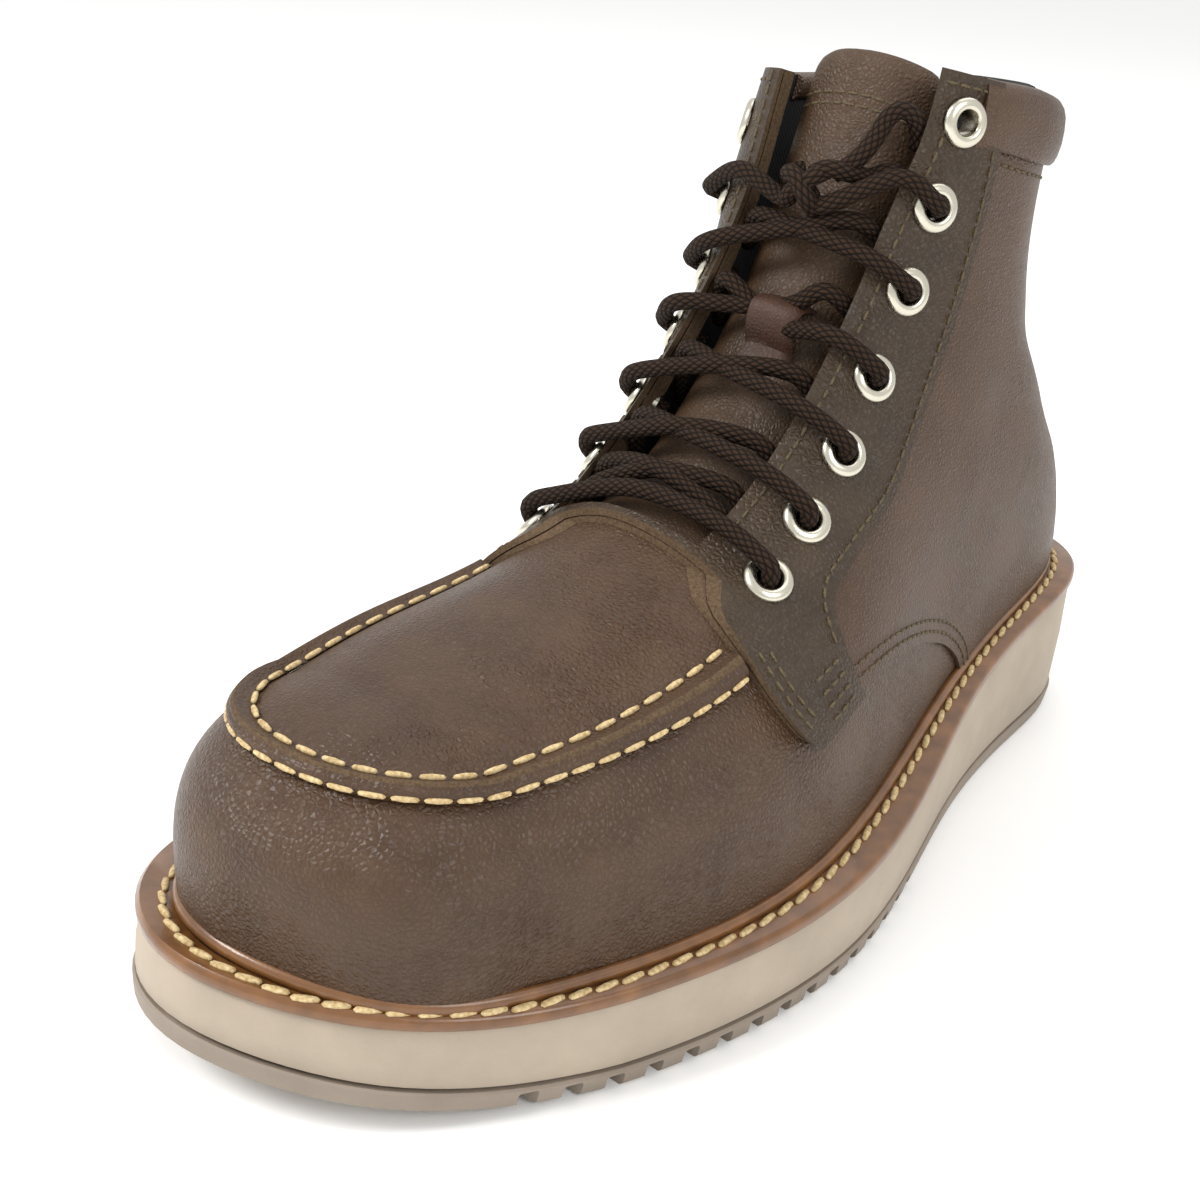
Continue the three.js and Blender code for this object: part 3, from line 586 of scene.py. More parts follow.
LAST_STATION = len(UPPER_SECTIONS) - 1
STATION_STEPS = 132
GIRTH_STEPS = 44
TOE_STEPS = 48


def form_solid(name, outset):
    """The whole form as one closed skin; outset is a length, or a function of a point."""
    reach = outset if callable(outset) else lambda spot: outset

    def body(i, j):
        station = LAST_STATION * i / STATION_STEPS
        k = j % (2 * GIRTH_STEPS + 2)
        if k == 2 * GIRTH_STEPS + 1:
            lift = reach(form_point(station, 0, 1))
            row, top, base, up = section_at(station)
            spot = base - up * lift
            return (foot_line_x, spot.y, spot.z)
        side = 1 if k <= GIRTH_STEPS else -1
        girth = k / GIRTH_STEPS if side > 0 else 2 - k / GIRTH_STEPS
        return form_point(station, girth, side, reach(form_point(station, girth, side)))

    def toe(i, j):
        angle = 180 * i / TOE_STEPS
        if j == GIRTH_STEPS + 1:
            row, top, base, up = section_at(0)
            spot = base - up * reach(base)
            return (foot_line_x, spot.y, spot.z)
        girth = 1 - j / GIRTH_STEPS
        return toe_point(angle, girth, reach(toe_point(angle, girth)))

    shaft = grid_piece(name, STATION_STEPS, 2 * GIRTH_STEPS + 2, body, close=False)
    cap = grid_piece("toe", TOE_STEPS, GIRTH_STEPS + 1, toe, close=False)
    return tidy(join(name, [shaft, cap]), merge=2e-6)


# Materials
def srgb(code):
    parts = [int(code[k : k + 2], 16) / 255 for k in (1, 3, 5)]
    return (*[p / 12.92 if p <= 0.04045 else ((p + 0.055) / 1.055) ** 2.4 for p in parts], 1.0)


def add(tree, kind, settings=None, links=None):
    """Adds a node, with its own settings or its sockets' values, and its links."""
    made = tree.nodes.new(kind)
    for key, value in (settings or {}).items():
        if key == "stops":
            for element, (place, code) in zip(made.color_ramp.elements, value):
                element.position = place
                element.color = srgb(code)
        elif isinstance(key, str) and hasattr(made, key):
            setattr(made, key, value)
        else:
            made.inputs[key].default_value = value
    for socket, source in (links or {}).items():
        tree.links.new(source, made.inputs[socket])
    return made


def new_material(name, **sockets):
    material = bpy.data.materials.new(name)
    material.use_nodes = True
    tree = material.node_tree
    shader = tree.nodes["Principled BSDF"]
    for key, value in sockets.items():
        shader.inputs[key.replace("_", " ")].default_value = value
    return material, tree, shader


# Creases are drawn six times as deep as they are, so that they show
CREASE_BOLDNESS = 6


# Tumbled full-grain leather: waxed, with pebbles a little over 1 mm across
def grain_leather(name, dark, light, roughness, grain, depth):
    material, tree, shader = new_material(name, Roughness=roughness, Specular_IOR_Level=0.32)
    place = add(tree, "ShaderNodeTexCoord").outputs["Object"]
    wander = add(tree, "ShaderNodeTexNoise", {"Scale": 1 / (2.5 * MM), "Detail": 2.0}, {"Vector": place})
    bend = add(
        tree,
        "ShaderNodeVectorMath",
        {"operation": "MULTIPLY_ADD", 1: (0.9 * MM, 0.9 * MM, 0.9 * MM)},
        {0: wander.outputs["Color"], 2: place},
    )
    pebbles = add(
        tree,
        "ShaderNodeTexVoronoi",
        {"feature": "DISTANCE_TO_EDGE", "Scale": 1 / (grain * MM)},
        {"Vector": bend.outputs["Vector"]},
    )
    creases = add(tree, "ShaderNodeMath", {"operation": "MINIMUM", 1: 0.4}, {0: pebbles.outputs["Distance"]})
    pores = add(tree, "ShaderNodeTexNoise", {"Scale": 1 / (0.5 * MM), "Detail": 3.0}, {"Vector": place})
    # the grain is bold in some places and almost smooth in others
    patches = add(tree, "ShaderNodeTexNoise", {"Scale": 1 / (22 * MM), "Detail": 2.0}, {"Vector": place})
    boldness = add(
        tree,
        "ShaderNodeMapRange",
        {"From Min": 0.35, "From Max": 0.65, "To Min": 0.45},
        {"Value": patches.outputs["Fac"]},
    )
    height = add(
        tree, "ShaderNodeMath", {"operation": "MULTIPLY"}, {0: creases.outputs[0], 1: boldness.outputs[0]}
    )
    both = add(
        tree,
        "ShaderNodeMath",
        {"operation": "MULTIPLY_ADD", 1: 0.06},
        {0: pores.outputs["Fac"], 2: height.outputs[0]},
    )
    bump = add(
        tree,
        "ShaderNodeBump",
        {"Strength": 0.8, "Distance": depth * CREASE_BOLDNESS * MM},
        {"Height": both.outputs[0]},
    )
    tree.links.new(bump.outputs["Normal"], shader.inputs["Normal"])
    clouds = add(
        tree,
        "ShaderNodeTexNoise",
        {"Scale": 1 / (14 * MM), "Detail": 5.0, "Roughness": 0.6},
        {"Vector": place},
    )
    stops = ((0.3, dark), (0.7, light))
    tone = add(tree, "ShaderNodeValToRGB", {"stops": stops}, {"Fac": clouds.outputs["Fac"]})
    shaded = add(
        tree,
        "ShaderNodeMix",
        {"data_type": "RGBA", "blend_type": "MULTIPLY", 0: 0.4},
        {6: tone.outputs["Color"]},
    )
    # painted shade: the tone darkens along the pebbles' edges, in the grooves where the bump is lowest
    groove_shade = add(
        tree,
        "ShaderNodeMapRange",
        {"From Max": 0.12, "To Min": 0.45},
        {"Value": pebbles.outputs["Distance"]},
    )
    tree.links.new(groove_shade.outputs[0], shaded.inputs[7])
    tree.links.new(shaded.outputs[2], shader.inputs["Base Color"])
    gloss = add(
        tree,
        "ShaderNodeMapRange",
        {"To Min": roughness - 0.08, "To Max": roughness + 0.12},
        {"Value": clouds.outputs["Fac"]},
    )
    tree.links.new(gloss.outputs[0], shader.inputs["Roughness"])
    return material


def speckled(name, tones, patch, grain, bump, **sockets):
    """Colour that wanders in patches over a fine grain: sizes and depth in mm, each size with its detail."""
    material, tree, shader = new_material(name, **sockets)
    place = add(tree, "ShaderNodeTexCoord").outputs["Object"]
    noises = [
        add(tree, "ShaderNodeTexNoise", {"Scale": 1 / (size * MM), "Detail": detail}, {"Vector": place})
        for size, detail in (patch, grain)
    ]
    stops = ((0.3, tones[0]), (0.7, tones[1]))
    tone = add(tree, "ShaderNodeValToRGB", {"stops": stops}, {"Fac": noises[0].outputs["Fac"]})
    tree.links.new(tone.outputs["Color"], shader.inputs["Base Color"])
    strength, depth = bump
    relief = add(
        tree,
        "ShaderNodeBump",
        {"Strength": strength, "Distance": depth * MM},
        {"Height": noises[1].outputs["Fac"]},
    )
    tree.links.new(relief.outputs["Normal"], shader.inputs["Normal"])
    return material


# Round braided lace: diagonal plaits, read from the tube's own UV map
def braided_cord(name, dark, light, plaits=8, depth=0.55):
    material, tree, shader = new_material(name, Roughness=0.8, Specular_IOR_Level=0.15)
    uv = add(tree, "ShaderNodeUVMap")
    split = add(tree, "ShaderNodeSeparateXYZ", links={0: uv.outputs["UV"]})
    turn = math.pi * plaits
    slope = 0.62
    run = add(tree, "ShaderNodeMath", {"operation": "MULTIPLY", 1: turn * slope}, {0: split.outputs["X"]})
    around = add(tree, "ShaderNodeMath", {"operation": "MULTIPLY", 1: turn}, {0: split.outputs["Y"]})
    waves = []
    for kind in ("ADD", "SUBTRACT"):
        slant = add(tree, "ShaderNodeMath", {"operation": kind}, {0: run.outputs[0], 1: around.outputs[0]})
        waves.append(add(tree, "ShaderNodeMath", {"operation": "SINE"}, {0: slant.outputs[0]}))
    weave = add(
        tree, "ShaderNodeMath", {"operation": "MULTIPLY"}, {0: waves[0].outputs[0], 1: waves[1].outputs[0]}
    )
    high = add(tree, "ShaderNodeMath", {"operation": "ABSOLUTE"}, {0: weave.outputs[0]})
    bump = add(tree, "ShaderNodeBump", {"Strength": 0.9, "Distance": depth * MM}, {"Height": high.outputs[0]})
    tree.links.new(bump.outputs["Normal"], shader.inputs["Normal"])
    # painted shade and highlight: the colour follows the plaits' relief, dark in the grooves between them and
    # light on their crowns
    tone = add(tree, "ShaderNodeValToRGB", {"stops": ((0.0, dark), (0.6, light))}, {"Fac": high.outputs[0]})
    tree.links.new(tone.outputs["Color"], shader.inputs["Base Color"])
    return material


# Rolled nickel-plated brass: bright, with faint scratches
def plated_nickel(name):
    material, tree, shader = new_material(name, Metallic=1.0, Roughness=0.24, Base_Color=srgb("#cdc8b8"))
    place = add(tree, "ShaderNodeTexCoord").outputs["Object"]
    wear = add(tree, "ShaderNodeTexNoise", {"Scale": 1 / (0.9 * MM), "Detail": 3.0}, {"Vector": place})
    gloss = add(tree, "ShaderNodeMapRange", {"To Min": 0.16, "To Max": 0.34}, {"Value": wear.outputs["Fac"]})
    tree.links.new(gloss.outputs[0], shader.inputs["Roughness"])
    return material


# Woven textile: over-and-under threads 0.7 mm apart in the lining and 1 mm in the webbing
def woven_cloth(name, dark, light, thread=0.7):
    material, tree, shader = new_material(name, Roughness=0.9)
    place = add(tree, "ShaderNodeTexCoord").outputs["Object"]
    split = add(tree, "ShaderNodeSeparateXYZ", links={0: place})
    waves = []
    for axis in ("Y", "Z"):
        turns = math.pi / (thread * MM)
        scaled = add(tree, "ShaderNodeMath", {"operation": "MULTIPLY", 1: turns}, {0: split.outputs[axis]})
        waves.append(add(tree, "ShaderNodeMath", {"operation": "SINE"}, {0: scaled.outputs[0]}))
    weave = add(
        tree, "ShaderNodeMath", {"operation": "MULTIPLY"}, {0: waves[0].outputs[0], 1: waves[1].outputs[0]}
    )
    # painted shade: the colour follows the weave's relief, darker on its sunken cells and lighter on its
    # raised ones
    tone = add(tree, "ShaderNodeValToRGB", {"stops": ((0.3, dark), (0.7, light))}, {"Fac": weave.outputs[0]})
    tree.links.new(tone.outputs["Color"], shader.inputs["Base Color"])
    bump = add(tree, "ShaderNodeBump", {"Strength": 0.5, "Distance": 0.2 * MM}, {"Height": weave.outputs[0]})
    tree.links.new(bump.outputs["Normal"], shader.inputs["Normal"])
    return material


vamp_leather = grain_leather("tumbled_leather_vamp", "#402c1d", "#4f3a28", 0.37, grain=1.2, depth=0.14)
quarter_leather = grain_leather("tumbled_leather_quarter", "#432f1f", "#523c2a", 0.4, grain=1.1, depth=0.14)
facing_leather = grain_leather("tumbled_leather_facing", "#322619", "#413222", 0.39, grain=1.3, depth=0.16)
tongue_leather = grain_leather("tumbled_leather_tongue", "#3c2b1c", "#4b3725", 0.46, grain=1.1, depth=0.11)
# Cut leather edge: fibrous and matt, paler than the grain side
edge_leather = speckled(
    "cut_leather_edge",
    ("#46382a", "#64513d"),
    (0.6, 4.0),
    (0.6, 4.0),
    (0.6, 0.3),
    Roughness=0.9,
    Specular_IOR_Level=0.15,
)
# Burnished welt leather: tan, smooth and waxed, with a wet-looking highlight
welt_leather = speckled(
    "burnished_welt_leather",
    ("#5c3a1a", "#7c522b"),
    (7, 4.0),
    (0.8, 2.0),
    (0.25, 0.15),
    Roughness=0.32,
    Coat_Weight=0.25,
)
# Moulded wedge foam: cream and matt, with a fine cast skin
foam = speckled(
    "moulded_wedge_foam", ("#9c8f7e", "#aa9c8a"), (18, 5.0), (0.7, 3.0), (0.35, 0.25), Roughness=0.62
)
# Tread rubber: grey-beige, a little darker and duller than the wedge
rubber = speckled(
    "moulded_tread_rubber", ("#807467", "#8d8174"), (18, 5.0), (0.9, 3.0), (0.35, 0.25), Roughness=0.7
)
# the lace's dark tone is painted shade for the plaits' grooves, its light tone a painted highlight on their
# crowns
lace_braid = braided_cord("round_braided_lace", "#070403", "#35261b")
# Waxed gold thread: thick, with bright and dark strands
gold_thread = speckled(
    "waxed_gold_thread",
    ("#a48a5c", "#d6c094"),
    (0.8, 2.0),
    (0.8, 2.0),
    (0.5, 0.2),
    Roughness=0.6,
    Specular_IOR_Level=0.2,
)
# Olive sewing thread: fine, almost the colour of the leather
dull_thread = speckled(
    "olive_sewing_thread",
    ("#43392a", "#64573f"),
    (0.5, 2.0),
    (0.5, 2.0),
    (0.5, 0.2),
    Roughness=0.6,
    Specular_IOR_Level=0.2,
)
nickel = plated_nickel("nickel_plated_brass")
# each cloth's dark tone is painted shade on the weave's sunken cells, its light tone the raised cells
black_lining = woven_cloth("black_textile_lining", "#0a0a0a", "#1d1b19")
black_webbing = woven_cloth("black_polyester_webbing", "#0c0c0c", "#272523", thread=1.0)
keeper_leather = grain_leather("smooth_leather_keeper", "#38241a", "#482f22", 0.52, grain=1.0, depth=0.06)


def paint(obj, material):
    obj.data.materials.clear()
    obj.data.materials.append(material)
    return obj


def finish_piece(obj, material, slot, *nodes):
    """Gives a piece its material and its body, and hides the solids it stands for; slot is not used."""
    if not obj.data.materials:
        obj.data.materials.append(material)
    for k, filled in enumerate(obj.data.materials):
        if filled is None:
            obj.data.materials[k] = material
    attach(obj, "root")
    if nodes:
        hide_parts(*nodes)
    return obj


# The sole
def seat_z(y):
    return stack_z(y) + fit


def sole_layer(name, levels):
    """A solid with the sole's outline; each level has its own outset and height along the sole."""
    rows = len(levels)

    def place(i, j):
        k = j % OUTLINE_COUNT
        spot = SOLE_RING[k]
        if i in (0, rows + 1):
            rise = levels[0 if i == 0 else -1][1]
            across = SOLE_RING[(OUTLINE_COUNT - k) % OUTLINE_COUNT]
            return ((spot.x + across.x) / 2, spot.y, rise(spot.y))
        grow, rise = levels[i - 1]
        moved = spot + SOLE_OUTS[k] * grow(spot.y)
        return (moved.x, moved.y, rise(spot.y))

    return grid_piece(name, rows + 1, OUTLINE_COUNT, place)


def make_outsole():
    edge = 0.8 * MM
    lip = 0.5 * MM
    top_lean = 0.8
    obj = sole_layer(
        "outsole_tread",
        [
            (lambda y: lean_at(y) - edge, floor_z),
            (lean_at, lambda y: floor_z(y) + edge),
            (lambda y: lean_at(y) * top_lean + lip, lambda y: floor_z(y) + outsole_thickness - edge / 2),
            (lambda y: lean_at(y) * top_lean, lambda y: floor_z(y) + outsole_thickness),
        ],
    )
    teeth = []
    for k in range(notch_count):
        y = along_y(notch_start) - k * notch_pitch
        for side in (1, -1):
            edges = [p for p in SOLE_RING if (p.x - foot_line_x) * side > 0]
            near = min(edges, key=lambda p: abs(p.y - y))
            bpy.ops.mesh.primitive_cube_add(size=1, location=(near.x, y, floor_z(y)))
            tooth = bpy.context.active_object
            tooth.scale = (2 * notch_reach, notch_width, 2 * notch_depth)
            settle(tooth)
            apply(tooth, "BEVEL", width=0.7 * MM, segments=2, limit_method="NONE")
            teeth.append(tooth)
    cutter = paint(join("teeth", teeth), rubber)
    carve(paint(obj, rubber), cutter)
    drop(cutter)
    shade(obj, 35)
    return finish_piece(obj, rubber, "outsole_rubber", "outsole")


def make_midsole():
    edge = 0.9 * MM
    low = outsole_thickness + fit
    low_lean = 0.75
    middle_lean = 0.4
    belly = 0.4 * MM
    obj = sole_layer(
        "midsole_wedge",
        [
            (lambda y: lean_at(y) * low_lean - edge, lambda y: floor_z(y) + low),
            (lambda y: lean_at(y) * low_lean, lambda y: floor_z(y) + low + edge),
            (lambda y: lean_at(y) * middle_lean + belly, lambda y: (floor_z(y) + low + stack_z(y)) / 2),
            (lambda y: 0.0, lambda y: stack_z(y) - edge),
            (lambda y: -edge / 2, stack_z),
        ],
    )
    shade(obj, 50)
    return finish_piece(obj, foam, "midsole_foam", "midsole")


def bvh_of(obj):
    return BVHTree.FromPolygons(
        [v.co.copy() for v in obj.data.vertices], [tuple(p.vertices) for p in obj.data.polygons]
    )


def welt_contour(skin, lift):
    """Where the upper's form meets the height of the welt's top, round the whole sole."""
    reach = 12 * MM
    usual_rim = 4 * MM
    line = []
    for spot, out in zip(SOLE_RING, SOLE_OUTS):
        start = spot + out * reach
        start.z = seat_z(spot.y) + lift
        hit = skin.ray_cast(start, -out)[0]
        line.append((hit or spot - out * usual_rim + Vector((0, 0, start.z)), out))
    return line


def ring_tube(name, centres, outs, radius, tall):
    """A closed tube round the boot, of oval section."""
    count = len(centres)
    sides = 12

    def place(i, j):
        k = i % count
        turn = 2 * math.pi * (j % sides) / sides
        return centres[k] + outs[k] * radius * math.cos(turn) + Vector((0, 0, radius * tall * math.sin(turn)))

    return grid_piece(name, count, sides, place)


def make_welt(skin, trim):
    low_edge = 0.5 * MM
    high_edge = 0.9 * MM
    obj = sole_layer(
        "welt_rim",
        [
            (lambda y: welt_lip - low_edge, seat_z),
            (lambda y: welt_lip, lambda y: seat_z(y) + low_edge),
            (lambda y: welt_lip, lambda y: seat_z(y) + welt_thickness - high_edge),
            (lambda y: welt_lip - high_edge, lambda y: seat_z(y) + welt_thickness),
        ],
    )
    carve(paint(obj, welt_leather), trim)
    shade(obj, 50)
    finish_piece(obj, welt_leather, "welt_leather", "welt")
    radius = 1.4 * MM
    seat = 0.45
    contour = welt_contour(skin, welt_thickness + 1.0 * MM)
    centres = [hit + out * radius * seat for hit, out in contour]
    count = len(centres)
    for _ in range(3):
        nearby = [[centres[(k + step) % count] for step in (-2, -1, 0, 1, 2)] for k in range(count)]
        centres = [sum(near, Vector()) / len(near) for near in nearby]
    bead = ring_tube("welt_bead", centres, [out for _, out in contour], radius, 1.2)
    shade(bead, 80)
    finish_piece(bead, welt_leather, "welt_leather")
    bead.parent = obj
    return contour


# Stitches: one is modelled, and each run copies it along its line
STITCH_SQUARENESS = 0.45


def make_stitch(length, width, height):
    bpy.ops.object.select_all(action="DESELECT")
    bpy.ops.mesh.primitive_uv_sphere_add(segments=8, ring_count=6, radius=0.5)
    stitch = bpy.context.active_object
    for vertex in stitch.data.vertices:
        # squared ends, as where the thread dives into its holes
        along = math.copysign(abs(vertex.co.x * 2) ** STITCH_SQUARENESS / 2, vertex.co.x)
        vertex.co = Vector((along * length, vertex.co.y * width, vertex.co.z * height))
    return stitch


def run_stitches(name, line, normals, material, slot, size, gap, lean=0.0):
    """Stitches of one run, lying along the line with their backs along the normals."""
    template = make_stitch(*size)
    spots = even_line(line, size[0] + gap)
    nearest = [min(range(len(line)), key=lambda k: (line[k] - s).length_squared) for s in spots]
    made = []
    for k in range(len(spots) - 1):
        middle = (spots[k] + spots[k + 1]) / 2
        along = (spots[k + 1] - spots[k]).normalized()
        up = normals[nearest[k]]
        up = (up - along * up.dot(along)).normalized()
        turn = Matrix((along, up.cross(along), up)).transposed()
        if lean:
            turn = turn @ Matrix.Rotation(lean, 3, "Z")
        one = copy_of(template, f"{name}_{k}")
        one.data.transform(Matrix.Translation(middle) @ turn.to_4x4())
        made.append(one)
    drop(template)
    run = join(name, made)
    pick(run)
    bpy.ops.object.shade_smooth()
    return finish_piece(run, material, slot)


def trace(points, lift):
    """A line on a surface and its normals; each point is given as a function of its outset."""
    line = [point(lift) for point in points]
    return line, [(point(lift + MM) - spot).normalized() for point, spot in zip(points, line)]


def surface_line(skin, line, side, lift):
    """A side-view line laid on the skin of one side, with the normals there."""
    start_x = foot_line_x + side * FAR / 2
    hits = [skin.ray_cast(Vector((start_x, y, z)), Vector((-side, 0, 0))) for y, z in line]
    found = [hit for hit in hits if hit[0]]
    return [hit[0] + hit[1] * lift for hit in found], [hit[1] for hit in found]


def shift_line(line, amount):
    """A side-view line moved sideways in its own plane."""
    moved = []
    for k, (y, z) in enumerate(line):
        y0, z0 = line[max(k - 1, 0)]
        y1, z1 = line[min(k + 1, len(line) - 1)]
        size = math.hypot(y1 - y0, z1 - z0)
        moved.append((y + (z1 - z0) / size * amount, z - (y1 - y0) / size * amount))
    return moved


# Shared cutters: under the sole's seat, above the collar, inside the throat
def region_under_sole():
    ys = [p.y for p in SOLE_RING[: OUTLINE_COUNT // 2 + 1]]
    end = ys[-1] - FAR
    below = [(end, -FAR), (FAR, -FAR), (FAR, seat_z(ys[0]))]
    return prism(below + [(y, seat_z(y)) for y in ys] + [(end, seat_z(ys[-1]))])


def collar_cut(rows, from_x, to_x):
    above = side_spots((-0.3, 0.83), (-0.3, 1.4), (0.9, 1.4), (0.9, 1))
    return prism(side_line(rows) + above, from_x, to_x)


def region_above_collar():
    middle = foot_line_x + throat_shift
    cut = collar_cut(COLLAR_LINE, middle, FAR)
    inner = collar_cut(COLLAR_INNER, -FAR, middle)
    carve(cut, inner, how="UNION")
    drop(inner)
    return cut


THROAT_STATION = 3.02
THROAT_OPEN = 10.8


def region_throat():
    below = 26 * MM
    tunnel = ridge_tunnel(THROAT_STATION, LAST_STATION, throat_sides, below, 30 * MM)
    top = ridge_tunnel(THROAT_OPEN, LAST_STATION, throat_sides, below, 60 * MM)
    carve(tunnel, top, how="UNION")
    drop(top)
    return tunnel


def region_quarter():
    behind = side_spots((0.62, 0.52), (0.55, 1.3), (-0.3, 1.3), (-0.3, 0), (0.305, 0))
    return prism(side_line(TAB_FRONT) + behind + side_line(QUARTER_LOW)[::-1][:-1])


def region_facing(side):
    above = side_spots((0.62, 0.52), (0.5, 1.1), (0.344, 1.1))
    outline = side_line(TAB_FRONT) + above + side_line(FACING_BACK)
    near = foot_line_x + throat_shift
    return prism(outline, near, FAR) if side > 0 else prism(outline, -FAR, near)


def eyelet_place(level, side):
    return (EYELETS_OUTER if side > 0 else EYELETS_INNER)[level - 1]


def eyelet_seat(level, side):
    """Where an eyelet's flange meets the facing, and the direction out of the leather."""
    station, girth = eyelet_place(level, side)
    here = form_point(station, girth, side, facing_skin)
    onward = form_point(station + 0.02, girth, side, facing_skin) - here
    upward = form_point(station, girth + 0.01, side, facing_skin) - here
    out = onward.cross(upward).normalized()
    if out.x * side < 0:
        out.negate()
    return here, out


SEATS = {(level, side): eyelet_seat(level, side) for level in range(1, 8) for side in (1, -1)}


def eyelet_bores(radius):
    bores = []
    for here, out in SEATS.values():
        bpy.ops.object.select_all(action="DESELECT")
        bpy.ops.mesh.primitive_cylinder_add(vertices=32, radius=radius, depth=30 * MM)
        bore = bpy.context.active_object
        bore.data.transform(seated(here, out))
        bores.append(bore)
    return join("bores", bores)


under_sole = paint(region_under_sole(), edge_leather)
above_collar = paint(region_above_collar(), edge_leather)
throat = paint(region_throat(), edge_leather)
eyelet_bore = 3.4 * MM
bores = paint(eyelet_bores(eyelet_bore), edge_leather)
quarter_region = paint(region_quarter(), edge_leather)
bare_form = paint(form_solid("bare_form", 0.0), vamp_leather)
lining_form = paint(form_solid("lining_form", -wall), black_lining)
fit_form = paint(form_solid("fit_form", fit), welt_leather)
skin_tree = bvh_of(bare_form)


# Soft creases: two points of each in side view, how far in it goes, and its width
CREASES = [
    ((0.12, 0.45), (0.29, 0.525), 0.8 * MM, 6 * MM),
    ((0.1, 0.53), (0.24, 0.6), 0.6 * MM, 5 * MM),
    ((0.16, 0.39), (0.32, 0.455), -0.4 * MM, 6 * MM),
    ((0.62, 0.2), (0.7, 0.3), 0.5 * MM, 6 * MM),
    ((0.66, 0.18), (0.745, 0.27), -0.35 * MM, 6 * MM),
]


# Creases reach their full depth this far from the boot's middle plane
CREASE_SPREAD = 20 * MM


def crease(obj):
    """Moves the side walls in and out along the listed creases."""
    lines = []
    for first, last, depth, width in CREASES:
        start, stop = [Vector(spot) for spot in side_spots(first, last)]
        lines.append((start, stop, depth, width))
    for vertex in obj.data.vertices:
        spot = Vector((vertex.co.y, vertex.co.z))
        across = (vertex.co.x - foot_line_x) / CREASE_SPREAD
        for start, stop, depth, width in lines:
            run = stop - start
            share = min(max((spot - start).dot(run) / run.length_squared, 0), 1)
            # distance from the crease in its own widths
            away = (spot - start - run * share).length / width
            vertex.co.x -= max(min(across, 1), -1) * depth * math.exp(-away * away)
    return obj


# Upper: the vamp and the layer under the quarters are one hollow shell
def make_vamp():
    shell = copy_of(bare_form, "vamp_and_counter")
    carve(shell, lining_form, under_sole, above_collar, throat, bores)
    crease(tidy(shell, fill=False))
    shade(shell, 40)
    return finish_piece(shell, vamp_leather, "upper_leather", "upper")


def make_quarter():
    layer = paint(form_solid("quarter_panels", quarter_step), quarter_leather)
    inside = paint(form_solid("inside", 0.05 * MM), edge_leather)
    carve(layer, quarter_region, how="INTERSECT")
    carve(layer, inside, under_sole, above_collar, throat, bores)
    drop(inside)
    crease(tidy(layer, fill=False))
    shade(layer, 40)
    return finish_piece(layer, quarter_leather, "upper_leather")


def make_facings():
    outer_form = paint(form_solid("facing_form", facing_skin), facing_leather)
    inner_form = paint(form_solid("inside", quarter_step + fit), edge_leather)
    carve(outer_form, inner_form, above_collar, throat, bores)
    made = []
    for side, node in ((1, "facing_outer"), (-1, "facing_inner")):
        piece = copy_of(outer_form, node + "_panel")
        region = paint(region_facing(side), edge_leather)
        carve(piece, region, how="INTERSECT")
        drop(region)
        crease(tidy(piece, fill=False))
        shade(piece, 40)
        made.append(finish_piece(piece, facing_leather, "upper_leather", node))
    drop(outer_form, inner_form)
    return made


# Padded cuff: a rolled band that turns over the collar's edge
# The girth where it ends in front, and how its rows crowd towards the back
CUFF_FRONT = 0.545
CUFF_SPREAD = 0.9
CUFF_STEPS = 120
# The stations between which the shaft's lines are looked for
SHAFT = (6.0, 12.0)
SEARCH_ROUNDS = 22


def line_height(rows, y):
    line = side_line(rows)
    if y >= line[-1][0]:
        return line[-1][1]
    for (y0, z0), (y1, z1) in zip(line, line[1:]):
        if y0 <= y <= y1:
            return z0 + (z1 - z0) * (y - y0) / max(y1 - y0, 1e-9)
    return line[0][1]


def cuff_girth(i):
    share = 2 * i / CUFF_STEPS - 1
    return abs(share) ** CUFF_SPREAD * CUFF_FRONT, (1 if share < 0 else -1)


def cuff_lines(rows):
    """Stations of a collar line all round the shaft, from one facing round the back to the other."""
    steps_per_metre = 4000
    cache = {}

    def line_rise(y, side):
        key = (round(y * steps_per_metre), side)
        if key not in cache:
            cache[key] = line_height(rows if side > 0 or rows is COLLAR_LOW else COLLAR_INNER, y)
        return cache[key]

    stations = []
    for i in range(CUFF_STEPS + 1):
        girth, side = cuff_girth(i)

        def beyond(station):
            spot = form_point(station, girth, side)
            return spot.z > line_rise(spot.y, side)

        stations.append(halve(*SHAFT, beyond, SEARCH_ROUNDS))
    return stations


def make_cuff():
    base = quarter_step + fit
    pad = collar_padding
    inside = -wall - fit
    section = [
        (0.0, base + 0.25 * pad),
        (0.02, base + 0.55 * pad),
        (0.08, base + 0.82 * pad),
        (0.2, base + 1.05 * pad),
        (0.4, base + 1.2 * pad),
        (0.6, base + 1.15 * pad),
        (0.8, base + 0.95 * pad),
        (0.92, base + 0.6 * pad),
        (1.0, base + 0.1 * pad),
        (1.035, base - 0.8 * pad),
        (1.03, inside),
        (0.98, inside - 0.5 * pad),
        (0.85, inside - 0.7 * pad),
        (0.6, inside - 0.5 * pad),
        (0.45, inside - 0.1 * pad),
        (0.45, inside),
        (0.9, inside),
        (1.006, inside + 0.2 * MM),
        (1.006, base - 0.2 * MM),
        (0.9, base),
        (0.5, base),
        (0.0, base),
    ]
    low = cuff_lines(COLLAR_LOW)
    high = cuff_lines(COLLAR_LINE)

    def place(i, j):
        # a loft round the collar: each corner of the section is a share up the band and an outset
        share, outset = section[j % len(section)]
        girth, side = cuff_girth(i)
        return form_point(low[i] + (high[i] - low[i]) * share, girth, side, outset)

    piece = grid_piece("padded_cuff", CUFF_STEPS, len(section), place)
    shade(piece, 60)
    finish_piece(piece, quarter_leather, "upper_leather", "collar_band")
    return piece


